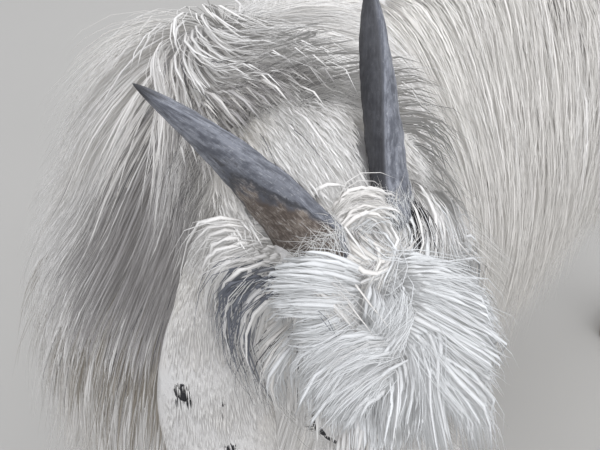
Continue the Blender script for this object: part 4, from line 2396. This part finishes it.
@dataclass(frozen=True)
class Lock:
    """One lock of the head's long hair, as places of the head's frame in millimetres."""

    path: tuple
    radius: float = 0.0085
    hairs: int = 120
    paired: bool = False

    def twins(self) -> Iterator[list[tuple[float, float, float]]]:
        """The lock's curve in metres, and its mirror image where both sides have it."""
        for side in Side if self.paired else (Side.LEFT,):
            yield [(x * side.value / 1000, y / 1000, z / 1000) for x, y, z in self.path]


HEAD_LOCKS = (
    # from the parting over the goat's left brow
    Lock(((1, 28, 12), (9, 26, 26), (21, 31, 30), (36, 41, 22), (53, 58, 4), (62, 77, -14))),
    Lock(((1, 29, 13), (8, 29, 32), (21, 35, 36), (40, 52, 24), (55, 75, 4), (65, 96, -16)), 0.0095, 170),
    Lock(((1, 32, 13), (7, 35, 34), (20, 46, 38), (38, 65, 26), (55, 91, 4), (64, 113, -18)), 0.0095, 170),
    Lock(((2, 37, 13), (5, 43, 34), (15, 55, 38), (31, 75, 28), (48, 98, 8), (59, 118, -12)), 0.0095, 170),
    Lock(((2, 42, 12), (3, 51, 32), (9, 63, 36), (22, 81, 28), (37, 102, 12), (50, 119, -6)), 0.0095, 150),
    Lock(((3, 47, 12), (3, 57, 30), (7, 70, 32), (17, 87, 24), (30, 105, 10), (46, 120, -6))),
    # sweeping down past the left eye
    Lock(((6, 52, 12), (4, 65, 30), (7, 80, 34), (17, 100, 26), (26, 122, 14), (31, 146, 0), (31, 165, -10)), 0.009, 150),
    Lock(((5, 53, 12), (2, 68, 28), (2, 83, 32), (9, 102, 26), (13, 121, 18), (17, 146, 6))),
    # down the middle of the face
    Lock(((1, 45, 13), (4, 51, 30), (3, 63, 34), (-1, 78, 30), (-3, 98, 22), (-2, 123, 12), (-3, 145, 4)), 0.0095, 170),
    Lock(((-2, 49, 13), (-2, 54, 28), (-4, 66, 32), (-6, 83, 26), (-11, 102, 18), (-13, 123, 10)), 0.009, 150),
    Lock(((-8, 60, 12), (-12, 72, 24), (-18, 85, 22), (-23, 98, 16), (-24, 117, 8)), 0.009, 130),
    # the twist under the parting
    Lock(((-4, 27, 12), (-4, 30, 30), (-7, 35, 38), (-14, 41, 40), (-21, 48, 34), (-24, 55, 24)), 0.0065, 130),
    Lock(((-5, 32, 12), (-13, 34, 34), (-19, 39, 36), (-21, 49, 30)), 0.0065),
    Lock(((-1, 46, 14), (-4, 46, 36), (-11, 47, 42), (-18, 51, 40), (-22, 59, 32), (-25, 70, 20)), 0.0065, 130),
    # the thick wave across to the goat's right
    Lock(((-13, 53, 12), (-17, 51, 30), (-28, 44, 36), (-41, 41, 36), (-53, 46, 28), (-60, 52, 16), (-65, 62, 2)), 0.008, 150),
    Lock(((-14, 58, 12), (-19, 57, 32), (-30, 51, 38), (-43, 50, 36), (-53, 56, 28), (-59, 65, 16), (-63, 75, 4)), 0.0085, 170),
    Lock(((-14, 66, 12), (-19, 64, 28), (-31, 62, 34), (-42, 64, 30), (-50, 71, 22), (-56, 79, 12), (-59, 85, 4)), 0.0085, 160),
    Lock(((-16, 74, 12), (-23, 73, 24), (-33, 71, 28), (-40, 78, 22), (-45, 85, 14), (-48, 94, 6)), 0.008),
    # from the parting over the goat's right brow
    Lock(((-8, 28, 12), (-20, 16, 22), (-31, 7, 20), (-39, 3, 12), (-45, 2, 0)), 0.0075),
    Lock(((-8, 31, 12), (-26, 18, 26), (-39, 9, 26), (-49, 6, 16), (-57, 7, 0), (-62, 18, -20)), 0.008),
    Lock(((-11, 35, 12), (-30, 24, 28), (-43, 17, 30), (-52, 15, 22), (-58, 17, 6), (-64, 24, -14)), 0.008, 130),
    Lock(((-14, 37, 12), (-28, 34, 26), (-39, 34, 28), (-49, 34, 26), (-56, 34, 16), (-60, 34, 2)), 0.0075),
    Lock(((-43, 8, 0), (-42, 15, 20), (-38, 26, 24), (-34, 38, 24), (-28, 52, 16)), 0.0075),
    Lock(((-36, 9, 0), (-34, 17, 22), (-31, 28, 26), (-25, 42, 22)), 0.0075),
    # beside the right ear
    Lock(((-46, 19, -12), (-57, 22, -20), (-67, 32, -34), (-72, 47, -46), (-72, 65, -56), (-69, 83, -64)), 0.009, 150, True),
    Lock(((-47, 29, -12), (-60, 35, -18), (-68, 45, -32), (-71, 60, -44), (-70, 78, -54), (-67, 95, -60)), 0.009, 150, True),
    Lock(((-48, 37, -12), (-60, 44, -14), (-66, 55, -26), (-67, 72, -38), (-66, 88, -46)), 0.0085, 120, True),
    Lock(((-50, 8, -8), (-57, 6, 0), (-67, 11, -6), (-74, 23, -14), (-75, 40, -24), (-73, 61, -34), (-69, 86, -44)), 0.008, 140),
    Lock(((-50, 6, -14), (-58, 3, -6), (-69, 9, -14), (-76, 23, -24), (-77, 42, -36), (-75, 65, -46)), 0.008, 140),
    # over the roots of the ears
    Lock(((-40, 2, -12), (-52, -6, -6), (-62, -3, -14), (-70, 8, -28), (-74, 24, -46), (-77, 44, -62)), 0.010, 150),
    Lock(((-38, -6, -16), (-52, -14, -10), (-64, -12, -20), (-72, 0, -36), (-77, 16, -54), (-80, 34, -70)), 0.011, 160),
    Lock(((-36, -14, -20), (-50, -24, -16), (-62, -26, -28), (-72, -14, -46), (-78, 2, -64), (-82, 20, -80)), 0.012, 160),
    # the curls between the horns
    Lock(((-12, -6, -3), (-9, -15, 9), (-1, -18, 14), (8, -13, 16), (13, -4, 16)), 0.011, 150),
    Lock(((-14, 0, -3), (-11, -8, 11), (-3, -11, 16), (5, -6, 18), (9, 3, 18)), 0.011, 150),
    Lock(((15, -2, -3), (16, 8, 14), (10, 17, 19), (0, 21, 19), (-11, 20, 17), (-18, 15, 12)), 0.010, 170),
    Lock(((-8, -2, -3), (-9, 5, 14), (-4, 12, 18), (5, 15, 19), (14, 12, 16), (21, 9, 12)), 0.010, 140),
    Lock(((2, -4, -3), (6, 2, 13), (5, 11, 18), (-3, 17, 19), (-11, 25, 19), (-16, 32, 17)), 0.010, 140),
    # the dark strip before the left horn, and the white lock beside it
    Lock(((30, -4, -4), (27, 2, 9), (25, 9, 14), (20, 18, 16), (13, 24, 15)), 0.0065, 150),
    Lock(((34, -4, -4), (33, 4, 9), (30, 14, 13), (24, 23, 15), (15, 29, 15)), 0.0065, 150),
    Lock(((42, -4, -12), (41, 5, 8), (39, 17, 12), (32, 28, 14), (20, 34, 16)), 0.007, 130),
    # round the root of the left horn
    Lock(((42, 4, -18), (46, 8, -4), (47, 17, 4), (46, 28, 6), (45, 40, 2), (48, 53, -8)), 0.0075, 130),
    Lock(((38, 5, -14), (38, 11, 0), (35, 19, 8), (32, 29, 10), (29, 39, 6)), 0.0075),
    Lock(((46, 6, -22), (56, 12, -12), (58, 24, -6), (58, 37, -8), (60, 51, -16)), 0.0075, 130),
    Lock(((29, 12, -6), (28, 13, 4), (26, 18, 9), (22, 24, 10), (13, 28, 12)), 0.0055, 90),
    Lock(((33, 10, -8), (33, 11, 2), (32, 16, 7), (28, 23, 8), (20, 29, 10)), 0.0055, 90),
    # between the horns
    Lock(((22, 14, -2), (20, 15, 10), (13, 20, 16), (4, 22, 18), (-3, 25, 14)), 0.006),
    Lock(((-2, 7, 0), (-6, 11, 10), (-7, 17, 14), (-5, 25, 12)), 0.006, 90),
    Lock(((7, 1, -6), (14, 0, -2), (16, 5, 4), (15, 12, 6), (8, 14, 6), (4, 10, 2)), 0.004, 80),
    Lock(((16, 7, -4), (15, 12, 8), (8, 16, 14), (1, 18, 14), (-4, 18, 10)), 0.005, 90),
    Lock(((-6, -6, -8), (2, -7, -4), (8, -2, -2), (11, 6, 0)), 0.006, 90),
    Lock(((-5, -1, -6), (0, 0, -2), (3, 5, 2), (3, 13, 4)), 0.006, 90),
    Lock(((12, -9, -14), (0, -8, -8), (-8, -3, -4), (-10, 4, 0)), 0.006, 90),
    # the cheeks
    Lock(((44, 30, -50), (56, 50, -62), (56, 74, -80), (48, 96, -98), (40, 110, -116)), 0.012, 170, True),
    Lock(((43, 52, -48), (54, 76, -60), (50, 98, -76), (42, 118, -90), (34, 134, -104)), 0.012, 170, True),
    Lock(((44, 14, -60), (56, 26, -78), (56, 46, -98), (46, 66, -116)), 0.012, 150, True),
    # under the jaw
    Lock(((18, 40, -102), (20, 64, -118), (18, 92, -124), (14, 118, -126), (10, 142, -130)), 0.012, 150, True),
    # the beard
    Lock(((0, 172, -76), (0, 180, -96), (-4, 202, -112), (-8, 226, -124), (-12, 250, -134)), 0.009, 150),
    Lock(((6, 154, -80), (7, 164, -98), (4, 188, -116), (0, 212, -128), (-4, 236, -140)), 0.009, 140),
    Lock(((-6, 154, -80), (-7, 164, -98), (-10, 188, -116), (-14, 212, -128), (-18, 236, -140)), 0.009, 140),
)


# The studio


@dataclass
class Studio:
    """Camera, lights and floor."""

    place: tuple = (0.472, -0.672, 1.026)   # the camera, in the goat's frame
    right: tuple = (0.766, 0.643, 0.0)
    up: tuple = (-0.3958, 0.4716, 0.788)
    back: tuple = (0.5065, -0.6036, 0.6157)
    lens: float = 69.0

    def build(self, finishes: Finishes) -> None:
        """Sets the studio up.

        Args:
            finishes: the materials.
        """
        data = bpy.data.cameras.new("camera")
        data.lens, data.sensor_width = self.lens, 36.0
        camera = bpy.data.objects.new("camera", data)
        bpy.context.scene.collection.objects.link(camera)
        turn = Matrix((self.right, self.up, self.back)).transposed().to_4x4()
        camera.matrix_world = Matrix.Translation(Vector(self.place) + SHIFT) @ turn
        bpy.context.scene.camera = camera
        middle = Vector((0.0, 0.0, 0.40))
        for name, place, size, power in (
            ("key", (0.5, -1.2, 2.6), 2.6, 15.0), ("fill", (2.2, -0.4, 1.8), 2.6, 15.0), ("top", (0.5, 0.4, 2.6), 2.8, 16.0),
            ("rear", (-1.6, 1.8, 1.6), 2.4, 8.0),
        ):
            lamp = bpy.data.lights.new(name, "AREA")
            lamp.shape, lamp.size, lamp.energy = "DISK", size, power
            light = bpy.data.objects.new(name, lamp)
            light.location = place
            light.rotation_euler = (middle - Vector(place)).to_track_quat("-Z", "Y").to_euler()
            bpy.context.scene.collection.objects.link(light)
        world = bpy.data.worlds.new("studio")
        world.use_nodes = True
        world.node_tree.nodes["Background"].inputs["Color"].default_value = (0.93, 0.95, 1.0, 1.0)
        world.node_tree.nodes["Background"].inputs["Strength"].default_value = 0.84
        bpy.context.scene.world = world
        bpy.context.scene.view_settings.view_transform = "Standard"
        bm = bmesh.new()
        bmesh.ops.create_grid(bm, x_segments=2, y_segments=2, size=40.0)
        floor = as_object("floor", bm)
        floor.data.materials.append(finishes.floor)


def main() -> None:
    """Builds the goat piece by piece and keeps both boxes."""
    logging.basicConfig(level=logging.INFO, format="%(message)s")
    finishes = Finishes()
    Studio().build(finishes)
    goat = Goat()
    goat.build_skin(finishes)
    for side in Side:
        Horn(goat.head, side).build(finishes)
        Eye(goat.head, side).build(finishes)
    LOG.info("horns and eyes")
    for limb in goat.limbs:
        limb.build(finishes)
    LOG.info("hooves")
    Coat(goat, finishes).build()


if __name__ == "__main__":
    main()
